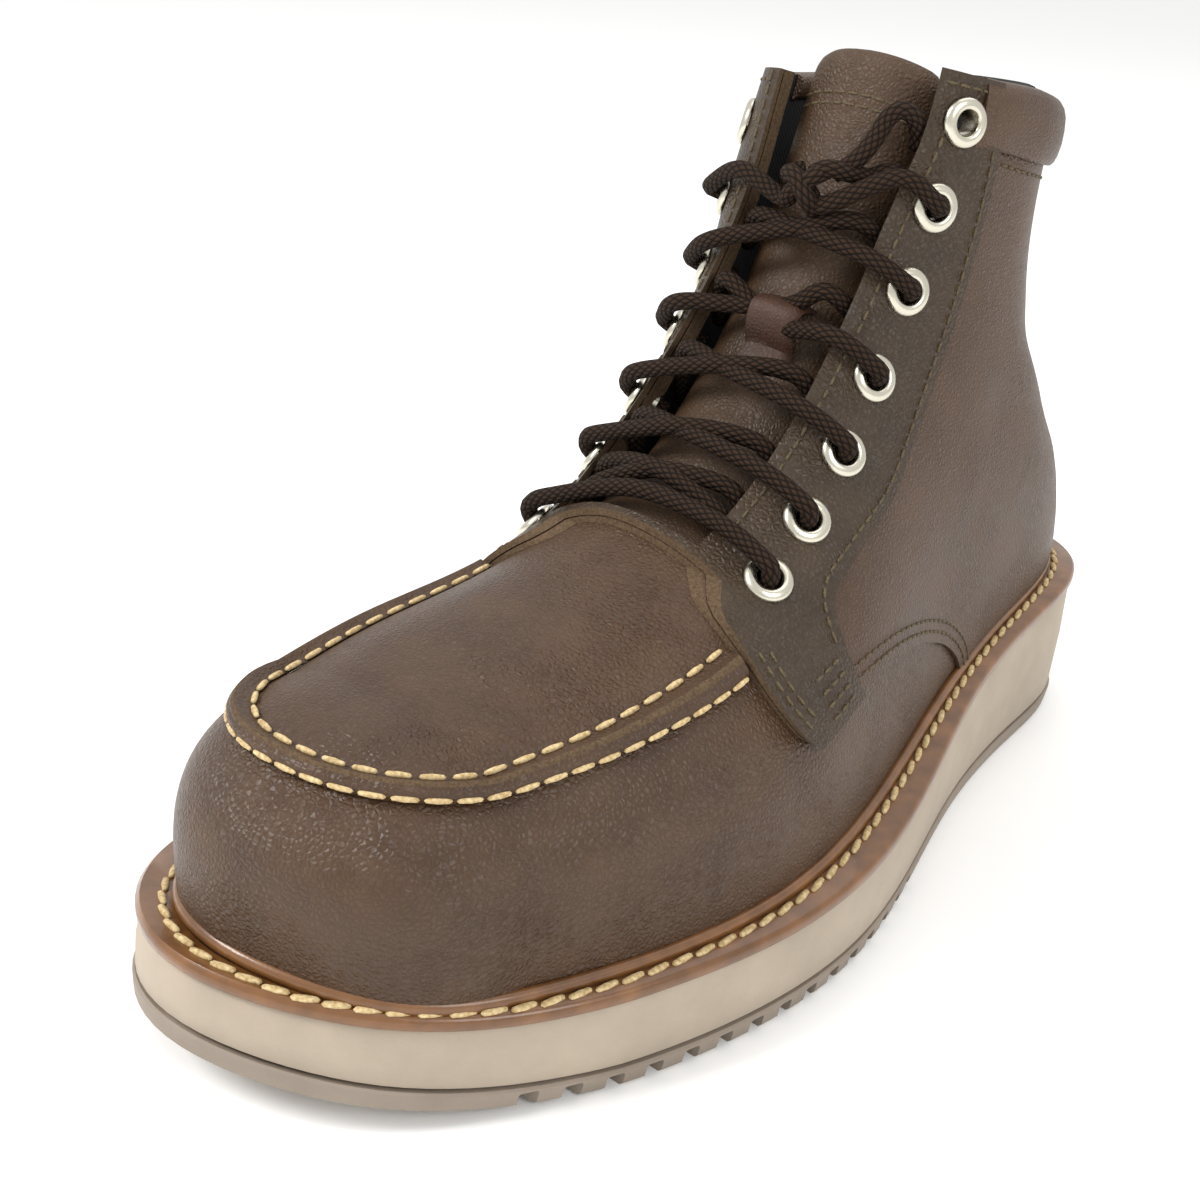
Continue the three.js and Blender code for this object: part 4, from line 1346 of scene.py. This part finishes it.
# Moccasin seam: a raised fold round the toe, with its cut edge on the lip
RIDGE_GIRTH = 0.032
RIDGE_RISE = 2.6 * MM
SEAM_END = 2.4
SEAM_SIDE_STEPS = 30
SEAM_TOE_STEPS = 72
# Faces of the ridge's section that lie on its lip and show the cut edge
RIDGE_LIP = (6, 7)


def seam_stops():
    runs = [SEAM_END * i / SEAM_SIDE_STEPS for i in range(SEAM_SIDE_STEPS + 1)]
    stops = [("side", SEAM_END - run, 1) for run in runs]
    stops += [("toe", 180 * i / SEAM_TOE_STEPS, 1) for i in range(1, SEAM_TOE_STEPS)]
    return stops + [("side", run, -1) for run in runs]


def seam_girth(stop):
    kind, value, side = stop
    return read_table(SEAM_SIDE if kind == "side" else SEAM_TOE, 1, value)


def seam_point(stop, girth, outset):
    kind, value, side = stop
    if kind == "side":
        return form_point(value, girth, side, outset)
    return toe_point(value, girth, outset)


def make_ridge():
    profile = [
        (-1.0, 0.0),
        (-0.95, 0.35),
        (-0.8, 0.7),
        (-0.6, 0.92),
        (-0.42, 1.0),
        (-0.25, 1.0),
        (-0.1, 1.12),
        (0.2, 1.2),
        (0.32, 1.12),
        (0.45, 0.75),
        (0.62, 0.4),
        (0.85, 0.2),
        (1.0, 0.0),
        (0.5, -0.1),
        (-0.5, -0.1),
    ]
    stops = seam_stops()

    def place(i, j):
        across, up = profile[j % len(profile)]
        stop = stops[i]
        return seam_point(stop, seam_girth(stop) + across * RIDGE_GIRTH, fit + up * RIDGE_RISE)

    piece = grid_piece("moccasin_seam_ridge", len(stops) - 1, len(profile), place, close=False)
    paint(piece, vamp_leather)
    piece.data.materials.append(edge_leather)
    for face in piece.data.polygons:
        if face.index // (len(stops) - 1) in RIDGE_LIP:
            face.material_index = 1
    tidy(piece)
    shade(piece, 45)
    return finish_piece(piece, vamp_leather, "upper_leather", "seam_ridge")


# Padded tongue
TONGUE_THICK = 3.4 * MM
TONGUE_FROM = 2.35
TONGUE_TO = 10.95
TONGUE_SINK = 4.5 * MM
TONGUE_SINK_SPAN = 1.4
# How far the tongue reaches behind each facing, as a share of the girth
TONGUE_TUCK = {-1: 0.1, 1: 0.07}
# How its top bows up in the middle and falls away at the corners
TONGUE_BOW = 0.08
TONGUE_CORNER = 0.82
CORNER_FALL = 1.2


def tongue_depth(station):
    """The tongue's outer side sinks away from the facings above its root."""
    return -wall - fit - TONGUE_SINK * ease((station - THROAT_STATION) / TONGUE_SINK_SPAN)


def tongue_point(station, across, outset):
    """across runs from -1 at the tongue's inner edge to 1 at its outer one."""
    left, right = throat_sides(station)
    side = -1 if across < 0 else 1
    edge = girth_at(station, left if side < 0 else right, rounds=16)
    reach = 1 - edge + TONGUE_TUCK[side]
    return form_point(station, 1 - reach * abs(across), side, outset)


def make_tongue():
    rows = 130
    columns = 24

    def place(i, j):
        share = i / rows
        across, face = sheet_place(j, columns)
        top = TONGUE_TO + TONGUE_BOW * (1 - across**2) - CORNER_FALL * max(abs(across) - TONGUE_CORNER, 0)
        station = TONGUE_FROM + (top - TONGUE_FROM) * share
        rim = max((1 - abs(across) ** 6), 0) ** 0.5 * min(1, ((1 - share) * 40) ** 0.5)
        middle = tongue_depth(station) - TONGUE_THICK / 2
        return tongue_point(station, across, middle + face * rim * TONGUE_THICK / 2)

    piece = grid_piece("padded_tongue", rows, 2 * columns, place)
    shade(piece, 60)
    finish_piece(piece, tongue_leather, "upper_leather", "tongue")
    return piece


# Eyelets: one rolled ring is modelled and copied to each seat
def make_eyelets():
    depth = facing_skin + wall - fit
    profile = [
        (2.75, -depth / MM),
        (2.72, 0.6),
        (2.85, 1.1),
        (3.25, 1.45),
        (3.9, 1.5),
        (4.6, 1.3),
        (5.15, 0.95),
        (5.45, 0.5),
        (5.5, 0.1),
        (5.3, 0.02),
        (3.3, 0.02),
        (3.3, -depth / MM),
    ]
    around = 36

    def place(i, j):
        turn = 2 * math.pi * i / around
        radius, up = profile[j % len(profile)]
        return (radius * MM * math.cos(turn), radius * MM * math.sin(turn), up * MM)

    ring = grid_piece("eyelet", around, len(profile), place)
    made = []
    for (level, side), (here, out) in SEATS.items():
        node = f"eyelet_{'outer' if side > 0 else 'inner'}_{level}"
        eyelet = copy_of(ring, node + "_ring")
        eyelet.data.transform(seated(here, out))
        shade(eyelet, 50)
        made.append(finish_piece(eyelet, nickel, "eyelet_nickel", node))
    drop(ring)
    return made


# Lace
BRAID_SIDES = 14
BRAID_STEP = 1.3 * MM


def lace_tube(name, points):
    """A braided cord along a smooth line, with its length and its turn in the UV map."""
    line = smooth_line(points, BRAID_STEP)
    count = len(line) - 1
    tangents = [(line[min(k + 1, count)] - line[max(k - 1, 0)]).normalized() for k in range(count + 1)]
    across = tangents[0].orthogonal().normalized()
    frames = []
    for k in range(count + 1):
        if k:
            across = tangents[k - 1].rotation_difference(tangents[k]) @ across
            across = (across - tangents[k] * across.dot(tangents[k])).normalized()
        frames.append((across.copy(), tangents[k].cross(across)))

    def place(i, j):
        turn = 2 * math.pi * (j % BRAID_SIDES) / BRAID_SIDES
        one, two = frames[i]
        return line[i] + (one * math.cos(turn) + two * math.sin(turn)) * braid_radius

    obj = grid_piece(name, count, BRAID_SIDES, place)
    length = sum((b - a).length for a, b in zip(line, line[1:]))
    for loop in obj.data.uv_layers.active.data:
        loop.uv.x *= length / (2 * math.pi * braid_radius)
    pick(obj)
    bpy.ops.object.shade_smooth()
    return obj, line


slack = 0.6 * MM
over_edge = facing_skin + fit + lace_radius + slack
over_tongue = lace_radius + fit - wall + 2 * slack
tuck_gap = lace_radius + 1 * MM
STRAND_RISE = 0.46
STRAND_MIDDLE = 0.42
# Where the lowest crossing leaves one facing, crosses over and dives behind the other
LOW_FROM = 0.4
LOW_MIDDLE = 0.54
LOW_TO = 0.74
KEEPER_LEVEL = 4
KEEPER_MIDDLE = 5.5 * MM
# The two strands that pass under the keeper: station and height over the tongue
UNDER_KEEPER = {1: (6.2, 0.5 * MM), -1: (6.42, 1.1 * MM)}


def edge_point(level, side):
    station, girth = eyelet_place(level, side)
    return point_across(station, throat_place(station, side) + side * MM, over_edge)


def into_eyelet(level, side):
    """The lace's last stretch, up through an eyelet and over its rim."""
    here, out = SEATS[(level, side)]
    toward = edge_point(level, side) - here
    toward = (toward - out * toward.dot(out)).normalized()
    steps = [
        (-wall - facing_skin - 2.5 * MM, 0),
        (-1.0 * MM, -0.3 * MM),
        (2.4 * MM, 0.4 * MM),
        (3.9 * MM, 3.0 * MM),
    ]
    return [here + out * up + toward * along for up, along in steps]


def tuck_behind(station, side):
    """The last points of a strand that dives in behind a facing."""
    steps = [
        (-tuck_gap - 3 * MM, over_tongue - slack),
        (-tuck_gap * 0.4, -2.2 * MM),
        (2 * MM, -4.7 * MM),
        (4.5 * MM, -4.9 * MM),
    ]
    edge = throat_place(station, side)
    return [point_across(station, edge + side * beyond, height) for beyond, height in steps]


def between(level, side, share):
    low = eyelet_place(level, side)[0]
    high = eyelet_place(level + 1, side)[0]
    return low + (high - low) * share


def strand(level, side):
    start = eyelet_place(level, side)[0]
    stop = between(level, -side, STRAND_RISE)
    middle = start + (stop - start) * STRAND_MIDDLE
    height = over_tongue + (0 if side > 0 else slack)
    across = throat_place(middle, 0)
    if level == KEEPER_LEVEL:
        middle, lift = UNDER_KEEPER[side]
        across = KEEPER_MIDDLE
        height = tongue_depth(middle) + braid_radius + lift
    return [
        *into_eyelet(level, side),
        edge_point(level, side),
        point_across(middle, across, height),
        *tuck_behind(stop, -side),
    ]


def make_laces():
    made = []
    for level in (2, 3, 4, 5):
        pair = [lace_tube(f"strand_{side}", strand(level, side))[0] for side in (1, -1)]
        crossing = join(f"lace_crossing_{level}", pair)
        made.append(finish_piece(crossing, lace_braid, "lace_cord", f"lace_cross_{level}"))
    station = eyelet_place(1, 1)[0]
    bar = [
        *into_eyelet(1, 1),
        edge_point(1, 1),
        point_across(station, throat_place(station, 0), over_tongue + 4 * slack),
        edge_point(1, -1),
        *into_eyelet(1, -1)[::-1],
    ]
    made.append(finish_piece(lace_tube("lace_bar", bar)[0], lace_braid, "lace_cord", "lace_bar_1"))
    runs = []
    for side, lift in ((1, 0), (-1, slack)):
        # each run comes up from behind one facing and goes down behind the other
        middle = (between(1, 1, LOW_MIDDLE) + between(1, -1, LOW_MIDDLE)) / 2
        low_line = [
            *tuck_behind(between(1, -side, LOW_FROM), -side)[::-1],
            point_across(middle, throat_place(middle, 0), over_tongue + lift),
            *tuck_behind(between(1, side, LOW_TO), side),
        ]
        runs.append(lace_tube(f"low_{side}", low_line)[0])
    made.append(finish_piece(join("lace_crossing_1", runs), lace_braid, "lace_cord", "lace_cross_1"))
    return made


# The bow's knot, its loop and its end. The points are the ones chosen for the solid model.
def from_model(x, y, z):
    return Vector((x * MM + foot_line_x, y * MM + sole_shift, z * MM))


KNOT_CENTRE = from_model(5.5, 14.6, 157.2)
LOOP_ROUTE = [
    from_model(10.4, 16.6, 160.2),
    from_model(13.4, 18.4, 162.8),
    from_model(15.2, 20.4, 165.6),
    from_model(16.4, 22.8, 169.2),
    from_model(17.4, 24.4, 172.6),
    from_model(19.4, 26, 174.6),
    from_model(21.3, 28.4, 173.4),
    from_model(21.8, 30.6, 170),
    from_model(21.2, 31.8, 166.4),
]
END_ROUTE = [from_model(16, 21.6, 160.1), from_model(18.4, 24.1, 161.3), from_model(20.8, 27.1, 161.3)]


def knot_spot(x, y, z):
    return KNOT_CENTRE + Vector((x * MM, y * MM, z * MM))


# The knot's inner arm, outer arm, wrap and tail, in millimetres from its centre
KNOT_RUNS = [
    [(-5.5, -1.5, -3.5), (-1.5, -3.8, -1.0), (2.5, -3.6, 2.2), (4.5, 0.5, 4.2)],
    [(5.5, -1.5, -3.2), (1.5, -1.0, -1.5), (-3.0, 0.5, 1.5), (-4.5, 1.0, 4.0)],
    [(-4.8, 0.5, 0.5), (-3.2, -3.2, 2.6), (0.2, -4.6, 1.8), (2.6, -4.4, -1.6), (3.0, -1.2, -4.6)],
    [(1.5, -0.5, 3.0), (5.5, -0.6, 4.6)],
]
KNOT_LEVEL = 6


def make_knot():
    inner, outer, wrap, tail = [[knot_spot(*spot) for spot in run] for run in KNOT_RUNS]
    runs = [
        [*into_eyelet(KNOT_LEVEL, -1), edge_point(KNOT_LEVEL, -1), *inner],
        [*into_eyelet(KNOT_LEVEL, 1), edge_point(KNOT_LEVEL, 1), *outer],
        wrap,
        [*tail, *END_ROUTE],
    ]
    piece = join("bow_knot", [lace_tube(f"knot_{k}", run)[0] for k, run in enumerate(runs)])
    return finish_piece(piece, lace_braid, "lace_cord", "lace_knot", "lace_end")


def make_loop():
    piece, line = lace_tube("bow_loop", LOOP_ROUTE)
    finish_piece(piece, lace_braid, "lace_cord", "lace_loop")
    return piece, line


# Lace keeper: a strap let into the tongue
KEEPER_FROM = 5.68
KEEPER_SPAN = 0.95
KEEPER_ARCH = 5.2 * MM
ARCH_FROM = 0.28
ARCH_SPAN = 0.66


def make_keeper():
    half = 6.2 * MM
    thick = 1.5 * MM
    rows = 30
    columns = 12

    def place(i, j):
        share = i / rows
        station = KEEPER_FROM + KEEPER_SPAN * share
        across, face = sheet_place(j, columns)
        rim = min(1, (1 - abs(across)) * 8, min(i, rows - i) * 0.6 + 0.3)
        # the strap lies flat below, then rises over the two strands that pass under it
        arch = math.pi * min(max((share - ARCH_FROM) / ARCH_SPAN, 0), 1)
        rise = max(math.sin(arch), 0) ** 0.7 * KEEPER_ARCH
        outset = tongue_depth(station) + fit + rise + (thick if face > 0 else 0) * rim
        return point_across(station, KEEPER_MIDDLE + across * half, outset)

    piece = grid_piece("lace_keeper_strap", rows, 2 * columns, place)
    shade(piece, 50)
    return finish_piece(piece, keeper_leather, "keeper_leather", "lace_keeper")


# Pull loop: webbing sewn inside and outside the back of the collar
def make_pull_loop():
    width = 20 * MM
    thick = 1.8 * MM
    bow = 1.4 * MM
    out = quarter_step + fit + collar_padding * 1.3 + fit
    inn = -wall - fit - collar_padding * 0.8 - fit
    fold = 6 * MM
    bend = form_height * COLLAR_LINE[-1][1] + 5.4 * MM - fold
    outside_run = 23 * MM
    inside_run = 20 * MM
    steps = 12
    rows = [(bend - outside_run * (1 - k / (steps - 1)), out) for k in range(steps)]
    for k in range(1, steps):
        turn = math.pi * k / steps
        rows.append((bend + fold * math.sin(turn), out + (inn - out) * (1 - math.cos(turn)) / 2))
    rows += [(bend - inside_run * k / (steps - 1), inn) for k in range(steps)]
    centre = []
    for z, outset in rows:
        station = halve(*SHAFT, lambda station: form_point(station, 0, 1, outset).z > z, SEARCH_ROUNDS)
        centre.append(form_point(station, 0, 1, outset))
    columns = 10
    count = len(rows) - 1

    def place(i, j):
        across, face = sheet_place(j, columns)
        along = centre[min(i + 1, count)] - centre[max(i - 1, 0)]
        normal = Vector((0, along.z, -along.y)).normalized()
        rim = 1 - abs(across) ** 8 * 0.5
        spot = centre[i] + normal * face * thick / 2 * rim
        return (foot_line_x + across * width / 2, spot.y - across**2 * bow, spot.z)

    piece = grid_piece("pull_loop_webbing", count, 2 * columns, place)
    shade(piece, 60)
    return finish_piece(piece, black_webbing, "pull_webbing", "pull_loop")


# Stitches are given as length, width and height
# Rows of the moccasin seam: place across the ridge, place up it, one stitch, the gap to the next
SEAM_ROWS = [
    ("outer", -0.92, 0.55, (5.3 * MM, 1.35 * MM, 1.2 * MM), 0.7 * MM),
    ("inner", 1.02, 0.22, (5.0 * MM, 1.35 * MM, 1.2 * MM), 1.1 * MM),
]
WELT_STITCH = (5.6 * MM, 1.7 * MM, 1.3 * MM)
WELT_GAP = 0.2 * MM
WELT_LEAN = 0.16
WELT_ROW = 3.0 * MM
WELT_ROOM = 1.3 * MM
FINE_STITCH = (2.6 * MM, 0.75 * MM, 0.6 * MM)
FINE_GAP = 0.7 * MM
THREAD_LIFT = 0.1 * MM
ROW_STEP = 2.6 * MM
# The row beside the throat: first and last station, and how far it lies from the edge
THROAT_ROW = (3.25, 10.45)
THROAT_ROW_INSET = 2.8 * MM
# Stations from the tongue's top down to its two rows, and how far these reach across
TONGUE_ROWS = (0.62, 0.78)
TONGUE_ROW_REACH = 0.8
CUFF_ROW_DOWN = 0.12


def ridge_stitches():
    """The two rows of the moccasin seam, one low on each flank of the ridge."""
    for name, across, rise, size, gap in SEAM_ROWS:
        points = [
            lambda lift, stop=stop: seam_point(stop, seam_girth(stop) + across * RIDGE_GIRTH, lift)
            for stop in seam_stops()
        ]
        line, normals = trace(points, fit + rise * RIDGE_RISE)
        run_stitches(f"moccasin_thread_{name}", line, normals, gold_thread, "welt_leather", size, gap)


def welt_stitches(contour):
    """The welt's row, all round, lying on the rim beside the bead."""
    line = []
    for (hit, out), edge in zip(contour, SOLE_RING):
        room = (Vector((edge.x, edge.y, 0)) - Vector((hit.x, hit.y, 0))).dot(out) + welt_lip
        spot = hit + out * min(WELT_ROW, room - WELT_ROOM)
        line.append(Vector((spot.x, spot.y, seat_z(spot.y) + welt_thickness + 0.25 * MM)))
    line.append(line[0])
    normals = [Vector((0, 0, 1))] * len(line)
    run_stitches("welt_thread", line, normals, gold_thread, "welt_leather", WELT_STITCH, WELT_GAP, WELT_LEAN)


def fine_row(name, line, normals):
    run_stitches(name, line, normals, dull_thread, "upper_leather", FINE_STITCH, FINE_GAP)


def side_row(name, tree, line, side):
    spots, normals = surface_line(tree, line, side, THREAD_LIFT)
    if len(spots) > 2:
        fine_row(name, spots, normals)


def throat_row(side):
    """The row beside a facing's front edge."""
    points = []
    steps = 89
    first, last = THROAT_ROW
    for k in range(steps + 1):
        station = first + (last - first) * k / steps
        x = throat_place(station, side) + side * THROAT_ROW_INSET
        points.append(lambda lift, station=station, x=x: point_across(station, x, lift))
    fine_row(f"facing_edge_thread_{side}", *trace(points, facing_skin + THREAD_LIFT))


def panel_stitches(facings, quarter):
    quarter_tree = bvh_of(quarter)
    facing_trees = [bvh_of(piece) for piece in facings]
    back = side_line(FACING_BACK)
    front = side_line(TAB_FRONT)
    low = side_line(QUARTER_LOW)
    foot = side_line([TAB_FRONT[0], FACING_BACK[-1]])
    tops = {1: side_line(COLLAR_LINE[:4]), -1: side_line(COLLAR_INNER[:4])}
    for side, facing_tree in zip((1, -1), facing_trees):
        throat_row(side)
        side_row(f"facing_back_thread_{side}", facing_tree, shift_line(back, ROW_STEP)[6:-6], side)
        for k in range(2):
            amount = ROW_STEP * (k + 1)
            side_row(f"tab_front_thread_{side}_{k}", facing_tree, shift_line(front, amount)[2:-6], side)
            side_row(f"quarter_thread_{side}_{k}", quarter_tree, shift_line(low, -amount)[2:-2], side)
        for k in range(4):
            line = shift_line(foot, -ROW_STEP * (k + 1))[3:-2]
            side_row(f"tab_low_thread_{side}_{k}", facing_tree, line, side)
        side_row(f"facing_top_thread_{side}", facing_tree, shift_line(tops[side], ROW_STEP), side)


def tongue_stitches():
    """Two rows across the tongue's top."""
    steps = 32
    places = [TONGUE_ROW_REACH * (2 * i / steps - 1) for i in range(steps + 1)]
    for k, down in enumerate(TONGUE_ROWS):
        station = TONGUE_TO - down
        depth = tongue_depth(station)
        points = [lambda lift, place=place: tongue_point(station, place, depth + lift) for place in places]
        fine_row(f"tongue_thread_{k}", *trace(points, THREAD_LIFT / 2))


def cuff_stitches():
    """The row under the padded cuff."""
    low = cuff_lines(COLLAR_LOW)
    points = []
    for i in range(3, CUFF_STEPS - 2):
        girth, side = cuff_girth(i)
        station = low[i] - CUFF_ROW_DOWN
        points.append(lambda lift, at=(station, girth, side): form_point(*at, lift))
    fine_row("cuff_thread", *trace(points, quarter_step + THREAD_LIFT))


# Footbed: black cloth over foam, seen down through the collar
def make_insole():
    thickness = 4 * MM
    room = sole_layer(
        "footbed",
        [(lambda y: 0.0, seat_z), (lambda y: 0.0, lambda y: seat_z(y) + thickness)],
    )
    inner = paint(form_solid("inner", -wall - fit), black_lining)
    carve(paint(room, black_lining), inner, how="INTERSECT")
    drop(inner)
    shade(room, 50)
    return finish_piece(room, black_lining, "lining_fabric", "insole")


make_outsole()
make_midsole()
welt_line = make_welt(skin_tree, fit_form)
make_insole()
make_vamp()
quarter = make_quarter()
facings = make_facings()
make_cuff()
make_ridge()
make_tongue()
make_eyelets()
make_laces()
knot = make_knot()
loop, loop_line = make_loop()
loop_length = sum((b - a).length for a, b in zip(loop_line, loop_line[1:]))
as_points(loop_line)
make_keeper()
make_pull_loop()
ridge_stitches()
welt_stitches(welt_line)
panel_stitches(facings, quarter)
tongue_stitches()
cuff_stitches()
drop(under_sole, above_collar, throat, bores, quarter_region, bare_form, lining_form, fit_form)


# Floor, lights and camera
# The lights point at this spot
LIT_SPOT = Vector((0, 0, 0.08))


def make_floor():
    bpy.ops.object.select_all(action="DESELECT")
    bpy.ops.mesh.primitive_plane_add(size=14, location=(0, 0, 0))
    floor = bpy.context.active_object
    floor.name = "studio_floor"
    material, tree, shader = new_material("matt_white_paper", Roughness=0.9)
    shader.inputs["Base Color"].default_value = srgb("#fafaf9")
    floor.data.materials.append(material)


def make_light(name, size, power, place):
    bpy.ops.object.light_add(type="AREA", location=place)
    light = bpy.context.active_object
    light.name = name
    light.data.size = size
    light.data.energy = power
    light.rotation_euler = (Vector(place) - LIT_SPOT).to_track_quat("Z", "Y").to_euler()
    return light


def make_camera():
    turn = math.radians(camera_azimuth)
    lift = math.radians(camera_elevation)
    roll = math.radians(camera_roll)
    ahead = Vector((-math.sin(turn) * math.cos(lift), math.cos(turn) * math.cos(lift), -math.sin(lift)))
    right = Vector((math.cos(turn), math.sin(turn), 0))
    above = right.cross(ahead)
    level = right * math.cos(roll) + above * math.sin(roll)
    upward = level.cross(ahead)
    data = bpy.data.cameras.new("photo_camera")
    data.lens = camera_lens
    data.sensor_width = 36
    data.shift_x, data.shift_y = camera_shift
    camera = bpy.data.objects.new("photo_camera", data)
    bpy.context.scene.collection.objects.link(camera)
    matrix = Matrix((level, upward, -ahead)).transposed().to_4x4()
    camera.matrix_world = Matrix.Translation(camera_place) @ matrix
    bpy.context.scene.camera = camera


make_floor()
make_light("key_softbox", 0.5, 17, (-0.6, -1.0, 1.1))
make_light("fill_softbox", 0.6, 7, (1.2, -0.3, 0.9))
make_light("top_softbox", 1.2, 6, (0.0, 0.6, 1.5))
make_camera()
world = bpy.data.worlds.new("pale_room")
world.use_nodes = True
world.node_tree.nodes["Background"].inputs["Color"].default_value = srgb("#ffffff")
world.node_tree.nodes["Background"].inputs["Strength"].default_value = 0.92
bpy.context.scene.world = world
bpy.context.scene.view_settings.view_transform = "Standard"
